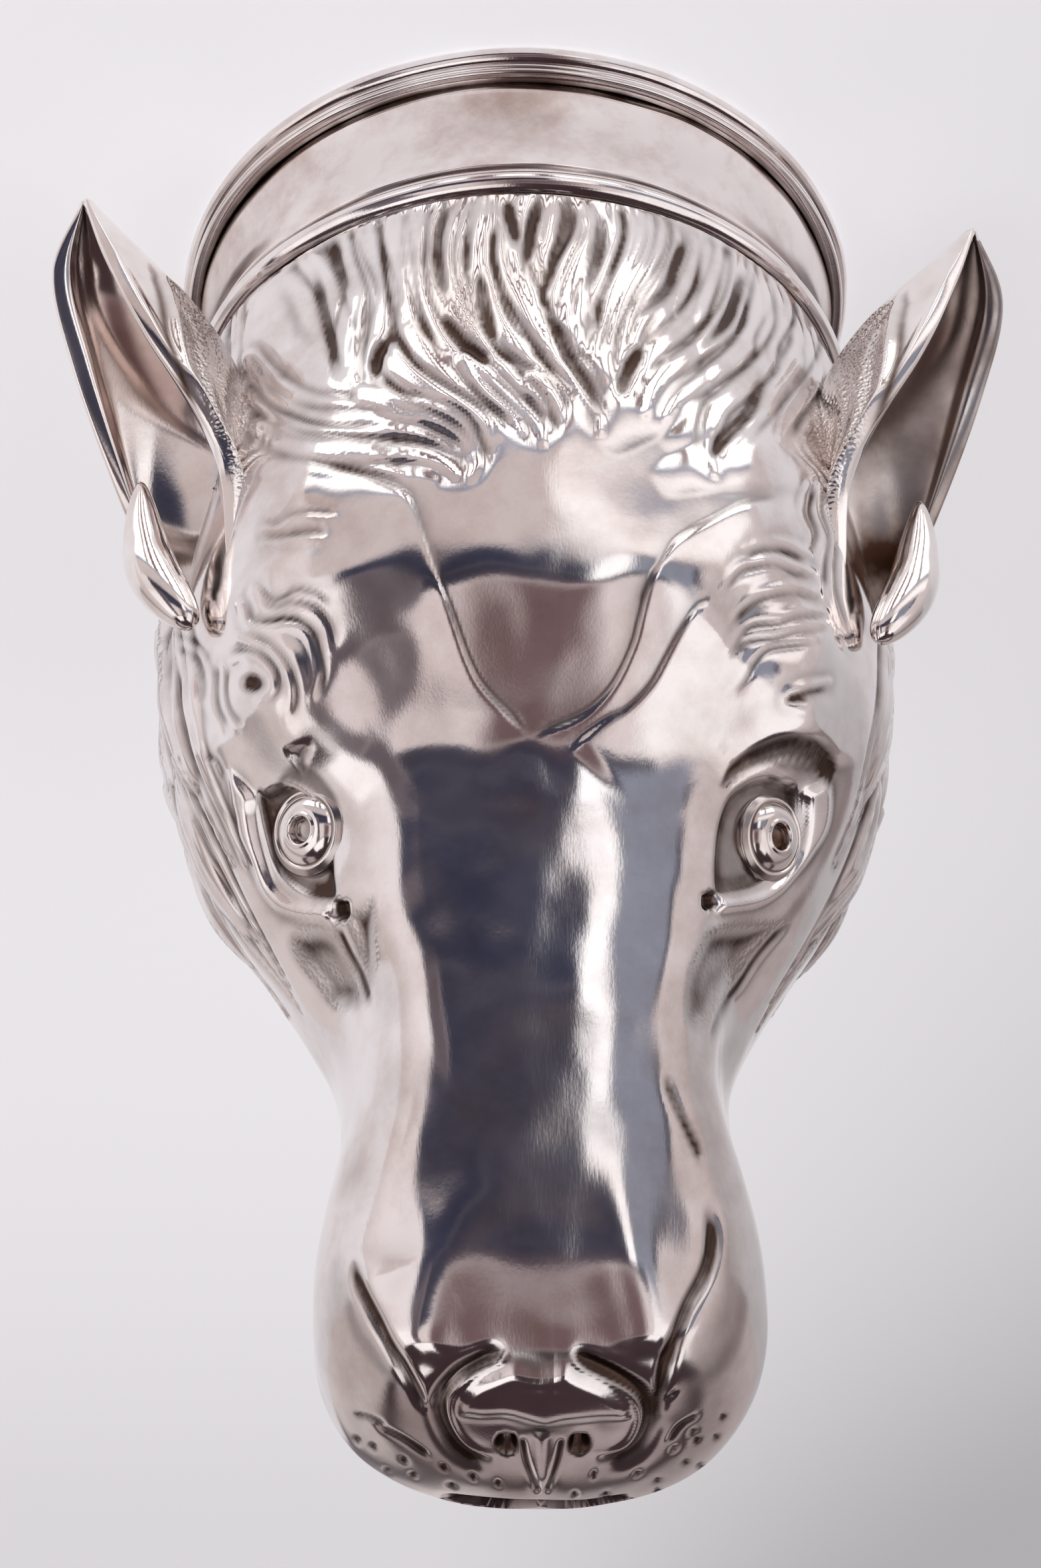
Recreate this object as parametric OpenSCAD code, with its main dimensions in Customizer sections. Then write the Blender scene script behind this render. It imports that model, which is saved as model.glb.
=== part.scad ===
// Fox-mask stirrup cup, standing on its rim with the muzzle up.
// Origin at the centre of the rim plane, forehead towards -Y, jaw towards +Y, the fox's left at -X.

/* [Collar and mouth] */
// Outside radius of the collar at the mouth
collar_r = 36.8; // [32:0.2:42]
// Height of the collar, from the rim to the head
collar_h = 19; // [14:0.5:28]
// Thickness of the collar's wall
collar_wall = 1.4; // [0.8:0.1:2.2]
// How far the side of the collar is drawn in at its middle
collar_hollow = 0.8; // [0:0.1:2.4]
// Height of the reeded moulding round the mouth
lip_h = 3.4; // [2.8:0.1:5]
// Thickness of the broad roll at the rim
lip_roll = 2; // [1.4:0.1:2.4]
// How far the moulding stands out from the collar
lip_out = 2.2; // [1.6:0.1:3.5]
// Height of the plain land at the head end of the collar
land_h = 4.4; // [3.6:0.1:6]
// Width of the half-round wire over the joint
bead_w = 2.5; // [1.5:0.1:3.2]
// Gap left for solder between two pieces
solder_gap = 0.06; // [0.02:0.01:0.15]

/* [Head sections] */
// Outside radius of the head where it meets the collar
neck_r = 36.2; // [32:0.2:40]
// Thickness of the head's wall
head_wall = 1.2; // [0.8:0.1:2]
// Crown: distance from the collar
crown_d = 21; // [16:0.5:26]
// Crown: width across
crown_w = 72.6; // [66:0.2:82]
// Crown: height of the forehead side above the axis
crown_face = 37.2; // [33:0.2:40]
// Crown: depth of the throat side below the axis
crown_jaw = 34.6; // [30:0.2:38]
// Cheek: distance from the collar
cheek_d = 39; // [34:0.5:41]
// Cheek: width across
cheek_w = 72.8; // [66:0.2:82]
// Cheek: height of the forehead side above the axis
cheek_face = 34.8; // [31:0.2:37]
// Cheek: depth of the throat side below the axis
cheek_jaw = 31; // [27:0.2:35]
// Forehead: distance from the collar
forehead_d = 44; // [42:0.5:48]
// Forehead: width across
forehead_w = 71.2; // [64:0.2:78]
// Forehead: height above the axis
forehead_face = 33.8; // [30:0.2:36]
// Forehead: depth of the throat side below the axis
forehead_jaw = 29.5; // [26:0.2:33]
// Brow: distance from the collar
brow_d = 57; // [52:0.5:62]
// Brow: width across
brow_w = 63.2; // [56:0.2:70]
// Brow: height of the forehead side above the axis
brow_face = 26; // [23:0.2:29]
// Brow: depth of the jaw side below the axis
brow_jaw = 24.8; // [22:0.2:28]
// Waist of the muzzle: distance from the collar
waist_d = 80; // [74:0.5:86]
// Waist of the muzzle: width across
waist_w = 35.6; // [32:0.2:40]
// Waist of the muzzle: height of the bridge above the axis
waist_face = 20.6; // [18:0.2:23]
// Waist of the muzzle: depth of the jaw below the axis
waist_jaw = 17.8; // [15:0.2:20]
// Flews: distance from the collar
flew_d = 98; // [92:0.5:103]
// Flews: width across
flew_w = 38.8; // [35:0.2:43]
// Flews: height of the bridge above the axis
flew_face = 17.2; // [15:0.2:19]
// Flews: depth of the jaw below the axis
flew_jaw = 15.4; // [13:0.2:17]
// Length of the head, from the collar to the nose
head_len = 114; // [108:0.5:124]
// How far the middle of the muzzle lies towards the jaw
head_bow = 2; // [0:0.1:3]

/* [Features] */
// Distance of the eyes from the collar
eye_d = 61; // [56:0.5:66]
// Angle of each eye round from the middle of the forehead
eye_angle = 51; // [44:1:58]
// Radius of the eye boss
eye_r = 4.1; // [3:0.1:5]
// How far the eye boss stands above the bottom of its socket
eye_rise = 2; // [1.2:0.1:2.6]
// Radius of the drilled pupil
pupil_r = 0.9; // [0.5:0.1:1.4]
// Depth of the eye socket
socket_depth = 1.5; // [0:0.1:2]
// Height of the brow above the eye
brow_rise = 1.9; // [0:0.1:2.5]
// Distance of the brow's crest from the eye, towards the crown
brow_crest = 9; // [7:0.5:12]
// Depth of the hollow between eye and muzzle
cheek_hollow = 1.8; // [0:0.1:2.5]
// Distance of that hollow from the eye
hollow_from_eye = 12; // [9:0.5:16]
// Height of the nose pad
nose_rise = 1.8; // [0:0.1:2.2]
// Distance of the nose pad from the end of the muzzle
nose_back = 7; // [5:0.5:10]
// Spread of each swelling and hollow on the face
face_spread = 5.5; // [4:0.1:7]
// Depth of the line of the mouth
mouth_depth = 1.4; // [0:0.1:1.8]

/* [Fur] */
// Height of the main locks of fur
fur_rise = 1.1; // [0:0.1:1.6]
// Width of a main lock at its root
lock_w = 10; // [7:0.5:14]
// Length of a main lock on the cheeks and the throat
lock_len = 17; // [12:0.5:22]
// Distance between rows of locks along the head
lock_row = 12; // [9:0.5:16]

/* [Ears] */
// Distance of the base of the ear from the collar
ear_base_d = 34.5; // [31:0.5:38]
// Length of the ear along the cup
ear_len = 38.3; // [30:0.5:44]
// How far the ear stands out from the head
ear_stand = 18.8; // [14:0.2:22]
// Thickness of the ear
ear_sheet = 1.3; // [0.9:0.1:1.8]
// Depth of the cup of the ear
ear_cup = 2.8; // [1.5:0.1:4]
// How far the folded edge of the ear is rolled forward
ear_roll = 2.6; // [1:0.1:3.5]
// Radius of the lobe at the foot of the ear
lobe_r = 2.4; // [1.6:0.1:3]

/* [Hidden] */
silver = [0.80, 0.78, 0.76];
shade = [0.62, 0.60, 0.59];
round_fn = 96;

// Rows: distance, half width, face, jaw, middle (towards the jaw), squareness of the face and jaw sides
sections = [
    [0, neck_r, neck_r, neck_r, 0, 2, 2],
    [crown_d, crown_w / 2, crown_face, crown_jaw, 0, 2, 2],
    [cheek_d, cheek_w / 2, cheek_face, cheek_jaw, -head_bow / 2, 2.1, 2],
    [forehead_d, forehead_w / 2, forehead_face, forehead_jaw, -head_bow / 2, 2.1, 2],
    [brow_d, brow_w / 2, brow_face, brow_jaw, -head_bow / 4, 2.05, 2],
    [waist_d, waist_w / 2, waist_face, waist_jaw, head_bow / 2, 2.8, 2.1],
    [flew_d, flew_w / 2, flew_face, flew_jaw, head_bow, 2.8, 2.3],
];
last = len(sections) - 1;
// Roundness of the muzzle's end across, on the bridge side and on the jaw side
cap_across = 2.5;
cap_face = 2;
cap_jaw = 2;

// Grid of the head: rings along the body, rings over the muzzle's end, steps round one half
body_rings = 33;
cap_rings = 10;
half_steps = 45;
ring_count = body_rings + cap_rings;
// Steps of the outer skin to one step of the inner skin, along the head and round it
ring_skip = 2;
step_skip = 3;
cap_len = head_len - flew_d;

function rise(i) = sections[i + 1] - sections[i];
function run(i) = sections[i + 1][0] - sections[i][0];
// The bridge keeps falling evenly past the flews, everything else levels out at both ends
bridge_fall = (waist_face - flew_face) / (flew_d - waist_d);
end_slope = [0, 0, -bridge_fall, 0, 0, 0, 0];
function slope(i) = i == 0
    ? 0 * end_slope
    : i == last
    ? end_slope
    : (rise(i - 1) / run(i - 1) * run(i) + rise(i) / run(i) * run(i - 1)) / (run(i - 1) + run(i));
function span_of(d) = min([for (i = [0 : last - 1]) if (d <= sections[i + 1][0] || i == last - 1) i]);
function hermite(i, t) =
    (2 * t ^ 3 - 3 * t ^ 2 + 1) * sections[i] + (t ^ 3 - 2 * t ^ 2 + t) * run(i) * slope(i)
    + (3 * t ^ 2 - 2 * t ^ 3) * sections[i + 1] + (t ^ 3 - t ^ 2) * run(i) * slope(i + 1);
function section_at(d) =
    let (at = min(max(d, 0), flew_d), i = span_of(at))
    hermite(i, (at - sections[i][0]) / run(i)) + max(d - flew_d, 0) * end_slope;
function rounding(d, power) =
    let (q = min(max((d - flew_d) / cap_len, 0), 1))
    (1 - q ^ power) ^ (1 / power);

// Radius of the head's skin about the middle of its section, at an angle from the forehead
function skin_radius(d, a) =
    let (s = section_at(d),
         half = s[1] * rounding(d, cap_across),
         face = (s[2] + s[4]) * rounding(d, cap_face),
         jaw = (s[3] - s[4]) * rounding(d, cap_jaw),
         depth = cos(a) > 0 ? face : jaw,
         power = cos(a) > 0 ? s[5] : s[6])
    half < 0.001 ? 0 : ((abs(sin(a)) / half) ^ power + (abs(cos(a)) / depth) ^ power) ^ (-1 / power);
function skin(d, a, out = 0) =
    let (r = skin_radius(d, a) + out)
    [r * sin(a), section_at(d)[4] - r * cos(a), collar_h + d];
function unit(v) = v / norm(v);
function skin_normal(d, a) = unit(cross(skin(d, a + 1) - skin(d, a - 1), skin(d + 1, a) - skin(d - 1, a)));

// Soft swellings and hollows: place on the skin and height
mouth_angle = 104;
mouth_spread = 5;
mouth_start = (waist_d + flew_d) / 2 - face_spread;
mouth_full = flew_d;
nose_d = head_len - nose_back;
nose_wing = 34;
hollow_d = eye_d + hollow_from_eye;
swellings = [
    [skin(eye_d - brow_crest, eye_angle - 6), brow_rise],
    [skin(eye_d - brow_crest, eye_angle + 14), brow_rise / 2],
    [skin(eye_d, eye_angle), -socket_depth],
    [skin(hollow_d, eye_angle + 2), -cheek_hollow],
    [skin(hollow_d + 1.5 * face_spread, eye_angle + 6), -cheek_hollow / 2],
    [skin(nose_d, 0), nose_rise],
    [skin(nose_d, nose_wing), nose_rise],
];
function swell(p, k) = k[1] * exp(-pow(norm(p - k[0]) / face_spread, 2));
function mouth_line(d, a) =
    -mouth_depth * exp(-pow((a - mouth_angle) / mouth_spread, 2))
    * min(max((d - mouth_start) / (mouth_full - mouth_start), 0), 1) * rounding(d, cap_across);
function total(v, i = 0) = i < len(v) ? v[i] + total(v, i + 1) : 0;
function relief(d, a) = let (p = skin(d, a)) mouth_line(d, a) + total([for (k = swellings) swell(p, k)]);

// Main locks of fur: distance and angle of the root, then of the tip
crown_locks = [
    [0, 6, 22, 2], [0, 21, 25, 9], [0, 37, 24, 24], [2, 54, 22, 38],
    [12, 50, 31, 17], [21, 48, 35, 16], [18, 24, 32, 8],
];
// Angle of the first lock of each row on the cheek, clear of the ear and the eye
row_starts = [66, 74, 80, 76, 84];
// How far the tips of the rows turn towards the face
lock_turn = 4;
lock_taper = 0.7;
root_share = 0.4;
fur_r = crown_w / 2;
lock_step = lock_w / fur_r * 180 / PI;
locks = concat(crown_locks, [for (k = [0 : len(row_starts) - 1], a = [row_starts[k] : lock_step : 180])
    [lock_row * k, a, lock_row * k + lock_len, a - lock_turn]]);
// The skin laid out flat: length round the head, distance along it
function laid_out(d, a) = [fur_r * a * PI / 180, d];
function lock_rise(p, k) =
    let (root = laid_out(k[0], k[1]),
         along = laid_out(k[2], k[3]) - root,
         t = min(max((p - root) * along / (along * along), 0), 1),
         half = lock_w / 2 * (1 - lock_taper * t ^ 2),
         off = norm(p - root - t * along))
    fur_rise * (root_share + (1 - root_share) * sin(180 * t)) * max(1 - (off / half) ^ 2, 0);
// The locks start low at the collar and are full a little further on
fur_start = 4;
function fur(d, a) =
    let (p = laid_out(d, a))
    min((d + 1) / fur_start, 1) * max([for (k = locks) lock_rise(p, k)]);

function ring_d(i) = i < body_rings
    ? flew_d * i / body_rings
    : flew_d + cap_len * sin(90 * (i - body_rings) / cap_rings);
function step_angle(j) = 180 * j / half_steps;
function nose_tip(out) = [0, sections[last][4], collar_h + head_len + out];
top = ring_count - 1;
plain_grid = [for (i = [0 : top]) [for (j = [0 : half_steps])
    let (d = ring_d(i), a = step_angle(j))
    skin(d, a, relief(d, a))]];
fur_grid = [for (i = [0 : top]) [for (j = [0 : half_steps]) fur(ring_d(i), step_angle(j))]];
function away(j) = [sin(step_angle(j)), -cos(step_angle(j)), 0];
outer_grid = [for (i = [0 : top]) [for (j = [0 : half_steps]) plain_grid[i][j] + fur_grid[i][j] * away(j)]];
// Normals stay square to the section at the collar and to the seam
function grid_normal(grid, i, j) =
    let (down = grid[max(i - 1, 0)][j],
         up = grid[min(i + 1, top)][j],
         back = grid[i][max(j - 1, 0)],
         on = grid[i][min(j + 1, half_steps)],
         n = unit(cross(on - back, up - down)),
         across = j == 0 || j == half_steps ? 0 : n[0],
         along = i == 0 ? 0 : n[2])
    unit([across, n[1], along]);
// The sheet is pressed from inside, so half of each lock shows there too
pressed = 0.5;
inner_grid = [for (i = [0 : ring_skip : top]) [for (j = [0 : step_skip : half_steps])
    plain_grid[i][j] - (head_wall - pressed * fur_grid[i][j]) * grid_normal(plain_grid, i, j)]];

function flat(rows) = [for (r = rows) each r];
function quad(a, b, c, d) = [[a, b, c], [a, c, d]];

// One half of the head: outer skin, inner skin, and flat faces at the seam and the collar
row_len = half_steps + 1;
grid_len = ring_count * row_len;
inner_top = top / ring_skip;
inner_last = half_steps / step_skip;
function at_out(i, j) = i * row_len + j;
function at_in(i, j) = grid_len + 1 + i * (inner_last + 1) + j;
tip_out = grid_len;
tip_in = at_in(inner_top + 1, 0);
module head_shell() {
    points = concat(flat(outer_grid), [nose_tip(0)], flat(inner_grid), [nose_tip(-head_wall)]);
    outside = [for (i = [0 : top - 1], j = [0 : half_steps - 1])
        each quad(at_out(i, j), at_out(i + 1, j), at_out(i + 1, j + 1), at_out(i, j + 1))];
    inside = [for (i = [0 : inner_top - 1], j = [0 : inner_last - 1])
        each quad(at_in(i, j), at_in(i, j + 1), at_in(i + 1, j + 1), at_in(i + 1, j))];
    nose = [for (j = [0 : half_steps - 1]) [at_out(top, j), tip_out, at_out(top, j + 1)]];
    nose_inside = [for (j = [0 : inner_last - 1]) [at_in(inner_top, j), at_in(inner_top, j + 1), tip_in]];
    neck = [for (j = [0 : inner_last - 1])
        concat([for (k = [0 : step_skip]) at_out(0, step_skip * j + k)], [at_in(0, j + 1), at_in(0, j)])];
    forehead_seam = [for (i = [0 : inner_top - 1])
        concat([at_in(i, 0), at_in(i + 1, 0)], [for (k = [ring_skip : -1 : 0]) at_out(ring_skip * i + k, 0)])];
    throat_seam = [for (i = [0 : inner_top - 1])
        concat([for (k = [0 : ring_skip]) at_out(ring_skip * i + k, half_steps)],
               [at_in(i + 1, inner_last), at_in(i, inner_last)])];
    seam_tip = [[at_out(top, 0), at_in(inner_top, 0), tip_in, tip_out],
                [at_out(top, half_steps), tip_out, tip_in, at_in(inner_top, inner_last)]];
    polyhedron(points, concat(outside, inside, nose, nose_inside, neck, forehead_seam, throat_seam, seam_tip));
}

// The same half filled in to the axis and grown by the solder gap, to cut the ear to its seat
module head_filled() {
    grown = [for (i = [0 : top]) [for (j = [0 : half_steps])
        outer_grid[i][j] + solder_gap * grid_normal(outer_grid, i, j)]];
    spine = [for (i = [0 : top]) [0, section_at(ring_d(i))[4], collar_h + ring_d(i)]];
    points = concat(flat(grown), [nose_tip(solder_gap)], spine);
    spine_at = grid_len + 1;
    outside = [for (i = [0 : top - 1], j = [0 : half_steps - 1])
        each quad(at_out(i, j), at_out(i + 1, j), at_out(i + 1, j + 1), at_out(i, j + 1))];
    nose = [for (j = [0 : half_steps - 1]) [at_out(top, j), tip_out, at_out(top, j + 1)]];
    neck = [for (j = [0 : half_steps - 1]) [at_out(0, j), at_out(0, j + 1), spine_at]];
    seam = [for (i = [0 : top - 1])
        each concat(quad(at_out(i, 0), spine_at + i, spine_at + i + 1, at_out(i + 1, 0)),
                    quad(at_out(i, half_steps), at_out(i + 1, half_steps), spine_at + i + 1, spine_at + i))];
    seam_tip = [[at_out(top, 0), spine_at + top, tip_out], [at_out(top, half_steps), tip_out, spine_at + top]];
    polyhedron(points, concat(outside, nose, neck, seam, seam_tip));
}

// Eye: its axis is square to the skin
eye_axis = skin_normal(eye_d, eye_angle);
eye_seat = skin(eye_d, eye_angle);
eye_tilt = acos(eye_axis[2]);
eye_turn = atan2(eye_axis[1], eye_axis[0]);
eye_hole_len = 8;
ring_r = 0.35;
ring_at = eye_r * 0.55;
pupil_depth = 1.2;
module at_eye() {
    translate(eye_seat)
        rotate([0, eye_tilt, eye_turn])
            children();
}
module eye_boss() {
    foot = -socket_depth - head_wall;
    crest = eye_rise - socket_depth;
    dome_r = (eye_r ^ 2 + eye_rise ^ 2) / (2 * eye_rise);
    at_eye() {
        rotate_extrude($fn = round_fn)
            difference() {
                union() {
                    intersection() {
                        translate([0, crest - dome_r])
                            circle(dome_r, $fn = round_fn);
                        translate([0, foot])
                            square([eye_r, crest - foot]);
                    }
                    translate([ring_at, crest - dome_r + sqrt(dome_r ^ 2 - ring_at ^ 2)])
                        circle(ring_r, $fn = 32);
                }
                translate([0, crest - pupil_depth])
                    square([pupil_r, 2 * pupil_depth]);
            }
    }
}
module head_half() {
    difference() {
        head_shell();
        at_eye()
            cylinder(h = eye_hole_len, r = eye_r + solder_gap, center = true, $fn = round_fn);
    }
}

// Ear: a sheet that runs from its free outer edge to the root on the head and forward to the rolled edge
// Rows: share of the length, angle round the head, share of the stand
ear_outer = [[0, 72, 0.02], [0.29, 66, 0.44], [0.59, 63, 0.79], [0.82, 60.5, 1], [1, 56.5, 0.97]];
ear_root = [[0, 64, -0.08], [0.27, 59.5, -0.05], [0.59, 55.5, -0.03], [0.86, 58, 0.33], [1, 56.2, 0.92]];
ear_fold = [[0, 52, -0.05], [0.27, 50.5, 0.12], [0.59, 53.5, 0.58], [0.82, 55.3, 0.82], [0.99, 55.9, 0.965]];
ear_sag = ear_cup * [0.35, 0.9, 1, 0.7, 0.04];
ear_bulge = ear_roll * [0.2, 0.8, 1, 0.6, 0.04];
ear_back = [0.1, 0.85, -0.5];
ear_side = [-0.75, -0.6, 0.1];
ear_rows = 18;
ear_cols = 18;
function ear_place(k) = skin(ear_base_d - ear_len * k[0], k[1], ear_stand * k[2]);
ear_edges = [for (edge = [ear_outer, ear_root, ear_fold]) [for (k = edge) ear_place(k)]];
function before(v, i) = i > 0 ? v[i - 1] : 2 * v[0] - v[1];
function after(v, i) = i < len(v) - 1 ? v[i + 1] : 2 * v[i] - v[i - 1];
function spline(v, s) =
    let (u = s * (len(v) - 1), i = min(floor(u), len(v) - 2), t = u - i,
         a = before(v, i), b = v[i], c = v[i + 1], d = after(v, i + 1))
    (2 * b + (c - a) * t + (2 * a - 5 * b + 4 * c - d) * t ^ 2 + (3 * b - a - 3 * c + d) * t ^ 3) / 2;
function bow(a, k, b, t) = (1 - t) ^ 2 * a + 2 * t * (1 - t) * k + t ^ 2 * b;
function ear_point(s, t) =
    let (outer = spline(ear_edges[0], s), root = spline(ear_edges[1], s), fold = spline(ear_edges[2], s),
         floor_mid = (outer + root) / 2 + spline(ear_sag, s) * ear_back,
         wall_mid = (root + fold) / 2 + spline(ear_bulge, s) * ear_side)
    t < 0.5 ? bow(outer, floor_mid, root, 2 * t) : bow(root, wall_mid, fold, 2 * t - 1);
module ear_leaf() {
    mid = [for (i = [0 : ear_rows]) [for (j = [0 : ear_cols]) ear_point(i / ear_rows, j / ear_cols)]];
    function sheet_normal(i, j) = unit(cross(
        mid[i][min(j + 1, ear_cols)] - mid[i][max(j - 1, 0)],
        mid[min(i + 1, ear_rows)][j] - mid[max(i - 1, 0)][j]));
    function face(side) = [for (i = [0 : ear_rows], j = [0 : ear_cols])
        mid[i][j] + side * ear_sheet / 2 * sheet_normal(i, j)];
    row = ear_cols + 1;
    back = (ear_rows + 1) * row;
    function at(i, j) = i * row + j;
    front_faces = [for (i = [0 : ear_rows - 1], j = [0 : ear_cols - 1])
        each quad(at(i, j), at(i + 1, j), at(i + 1, j + 1), at(i, j + 1))];
    back_faces = [for (f = front_faces) [back + f[0], back + f[2], back + f[1]]];
    ends = [for (j = [0 : ear_cols - 1])
        each concat(quad(at(0, j), at(0, j + 1), back + at(0, j + 1), back + at(0, j)),
                    quad(at(ear_rows, j), back + at(ear_rows, j),
                         back + at(ear_rows, j + 1), at(ear_rows, j + 1)))];
    sides = [for (i = [0 : ear_rows - 1])
        each concat(quad(at(i, 0), back + at(i, 0), back + at(i + 1, 0), at(i + 1, 0)),
                    quad(at(i, ear_cols), at(i + 1, ear_cols),
                         back + at(i + 1, ear_cols), back + at(i, ear_cols)))];
    polyhedron(concat(face(1), face(-1)), concat(front_faces, back_faces, ends, sides));
}
// The outer edge curls into a lobe; rows: distance from the ear's base, angle, stand, share of the radius
ear_lobe = [[5.5, 69, 4.2, 0.5], [1.5, 64, 4, 1], [-4, 60.5, 2.2, 0.9]];
module lobe_ball(k) {
    translate(skin(ear_base_d - k[0], k[1], k[2]))
        sphere(lobe_r * k[3], $fn = 24);
}
module ear() {
    difference() {
        union() {
            ear_leaf();
            for (i = [0 : len(ear_lobe) - 2])
                hull() {
                    lobe_ball(ear_lobe[i]);
                    lobe_ball(ear_lobe[i + 1]);
                }
        }
        head_filled();
    }
}

// Collar: straight where the moulding sits, drawn in between, plain land under the bead
band_steps = 12;
band_start = lip_h + collar_hollow;
band_end = collar_h - land_h;
function band_r(z) =
    let (q = (z - band_start) / (band_end - band_start))
    collar_r + (neck_r - collar_r) * q - collar_hollow * sin(180 * q);
band = [for (k = [0 : band_steps])
    let (z = band_start + (band_end - band_start) * k / band_steps)
    [band_r(z), z]];
land_step = 0.25;
land_r = neck_r - land_step;
collar_side = concat([[collar_r, 0]], band, [[land_r, band_end + land_step], [land_r, collar_h]]);
function inward(p) = [p[0] - collar_wall, p[1]];
module collar() {
    color(silver)
        rotate_extrude($fn = round_fn)
            polygon(concat(collar_side, [for (k = [len(collar_side) - 1 : -1 : 0]) inward(collar_side[k])]));
}

// Moulding: a flat strip with a broad roll at the rim and two thin reeds
roll_r = lip_roll / 2;
reed_count = 2;
reed_r = (lip_h - lip_roll) / reed_count / 2;
module lip_moulding() {
    seat = collar_r + solder_gap;
    strip = lip_out - roll_r - solder_gap;
    color(silver)
        rotate_extrude($fn = round_fn)
            union() {
                translate([seat, 0])
                    square([strip, lip_h]);
                translate([collar_r + lip_out - roll_r, roll_r])
                    circle(roll_r, $fn = 48);
                for (k = [1 : reed_count])
                    translate([seat + strip, lip_roll + (2 * k - 1) * reed_r])
                        circle(reed_r, $fn = 32);
            }
}

// Half-round wire on the land, over the joint
bead_gap = 0.3;
module neck_bead() {
    seat = land_r + solder_gap;
    middle = collar_h - bead_gap - bead_w / 2;
    color(silver)
        rotate_extrude($fn = round_fn)
            intersection() {
                translate([seat, middle])
                    circle(bead_w / 2, $fn = 48);
                translate([seat, middle - bead_w])
                    square([bead_w, 2 * bead_w]);
            }
}

module head_left_half() {
    color(silver)
        mirror([1, 0, 0])
            head_half();
}
module head_right_half() {
    color(silver)
        head_half();
}
module left_ear() {
    color(shade)
        mirror([1, 0, 0])
            ear();
}
module right_ear() {
    color(shade)
        ear();
}
module left_eye() {
    color(shade)
        mirror([1, 0, 0])
            eye_boss();
}
module right_eye() {
    color(shade)
        eye_boss();
}

head_left_half();
head_right_half();
collar();
lip_moulding();
neck_bead();
left_ear();
right_ear();
left_eye();
right_eye();
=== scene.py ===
"""Fox-mask stirrup cup in chased silver: the surfaces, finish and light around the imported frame."""
import math

import bpy
import numpy as np
from mathutils import Matrix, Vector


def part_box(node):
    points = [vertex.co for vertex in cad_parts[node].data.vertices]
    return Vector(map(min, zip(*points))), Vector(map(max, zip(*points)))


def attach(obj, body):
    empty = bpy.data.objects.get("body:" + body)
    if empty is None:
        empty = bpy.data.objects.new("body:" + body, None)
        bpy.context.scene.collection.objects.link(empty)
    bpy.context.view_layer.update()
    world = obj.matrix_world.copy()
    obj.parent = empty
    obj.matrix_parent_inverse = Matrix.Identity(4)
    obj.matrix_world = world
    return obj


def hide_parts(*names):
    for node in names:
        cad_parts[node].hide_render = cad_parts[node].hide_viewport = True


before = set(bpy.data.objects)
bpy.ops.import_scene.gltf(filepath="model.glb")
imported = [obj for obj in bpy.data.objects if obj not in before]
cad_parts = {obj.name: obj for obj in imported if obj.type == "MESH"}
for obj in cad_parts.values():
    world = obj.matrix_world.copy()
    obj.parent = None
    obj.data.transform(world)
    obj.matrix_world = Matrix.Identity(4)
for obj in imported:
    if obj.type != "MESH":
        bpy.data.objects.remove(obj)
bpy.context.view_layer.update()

# Shapes are worked out in millimetres and written to meshes in metres
MM = 0.001
TINY = 1e-9
random = np.random.default_rng(7)


def node_box(node):
    low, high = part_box(node)
    return np.array(low) / MM, np.array(high) / MM


def smooth(x):
    x = np.clip(x, 0, 1)
    return x * x * (3 - 2 * x)


def unit(v):
    return v / np.maximum(np.linalg.norm(v, axis=-1, keepdims=True), TINY)


# Camera: the photograph's frame in pixels, and where it was taken from
PHOTO_W, PHOTO_H = 1568, 2362
FOCAL_PX = 2800
AIM = np.array((0.6, 0, 64.1))
CAMERA_DISTANCE = 188
CAMERA_FROM_NOSE = math.radians(58.5)
CAMERA_TURN = math.radians(4)
CAMERA_ROLL = math.radians(1.2)
SENSOR = 36


def camera_axes():
    back = np.array((math.sin(CAMERA_FROM_NOSE) * math.sin(CAMERA_TURN),
                     -math.sin(CAMERA_FROM_NOSE) * math.cos(CAMERA_TURN),
                     math.cos(CAMERA_FROM_NOSE)))
    up = unit(np.array((0, 0, -1.0)) + back * back[2])
    right = np.cross(-back, up)
    turned_right = math.cos(CAMERA_ROLL) * right - math.sin(CAMERA_ROLL) * up
    turned_up = math.sin(CAMERA_ROLL) * right + math.cos(CAMERA_ROLL) * up
    return turned_right, turned_up, back


RIGHT, UP, BACK = camera_axes()
CAMERA_AT = AIM + CAMERA_DISTANCE * BACK


def photo_pixel(points):
    """Where points of the object lie in the photograph."""
    q = points - CAMERA_AT
    depth = -(q @ BACK)
    return np.stack((PHOTO_W / 2 + FOCAL_PX * (q @ RIGHT) / depth,
                     PHOTO_H / 2 - FOCAL_PX * (q @ UP) / depth), -1)


def add_camera():
    data = bpy.data.cameras.new("camera")
    data.sensor_width = SENSOR
    data.lens = FOCAL_PX * SENSOR / max(PHOTO_W, PHOTO_H)
    data.clip_start = 0.01
    data.clip_end = 20
    camera = bpy.data.objects.new("camera", data)
    axes = np.stack((RIGHT, UP, BACK), 1)
    camera.matrix_world = Matrix.Translation(CAMERA_AT * MM) @ Matrix(axes.tolist()).to_4x4()
    bpy.context.scene.collection.objects.link(camera)
    bpy.context.scene.camera = camera


# Head form: the same sections and swellings as the solid head
COLLAR_H = node_box("collar")[1][2]
HEAD_LEN = node_box("head_right_half")[1][2] - COLLAR_H
HEAD_WALL = 1.2
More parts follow.
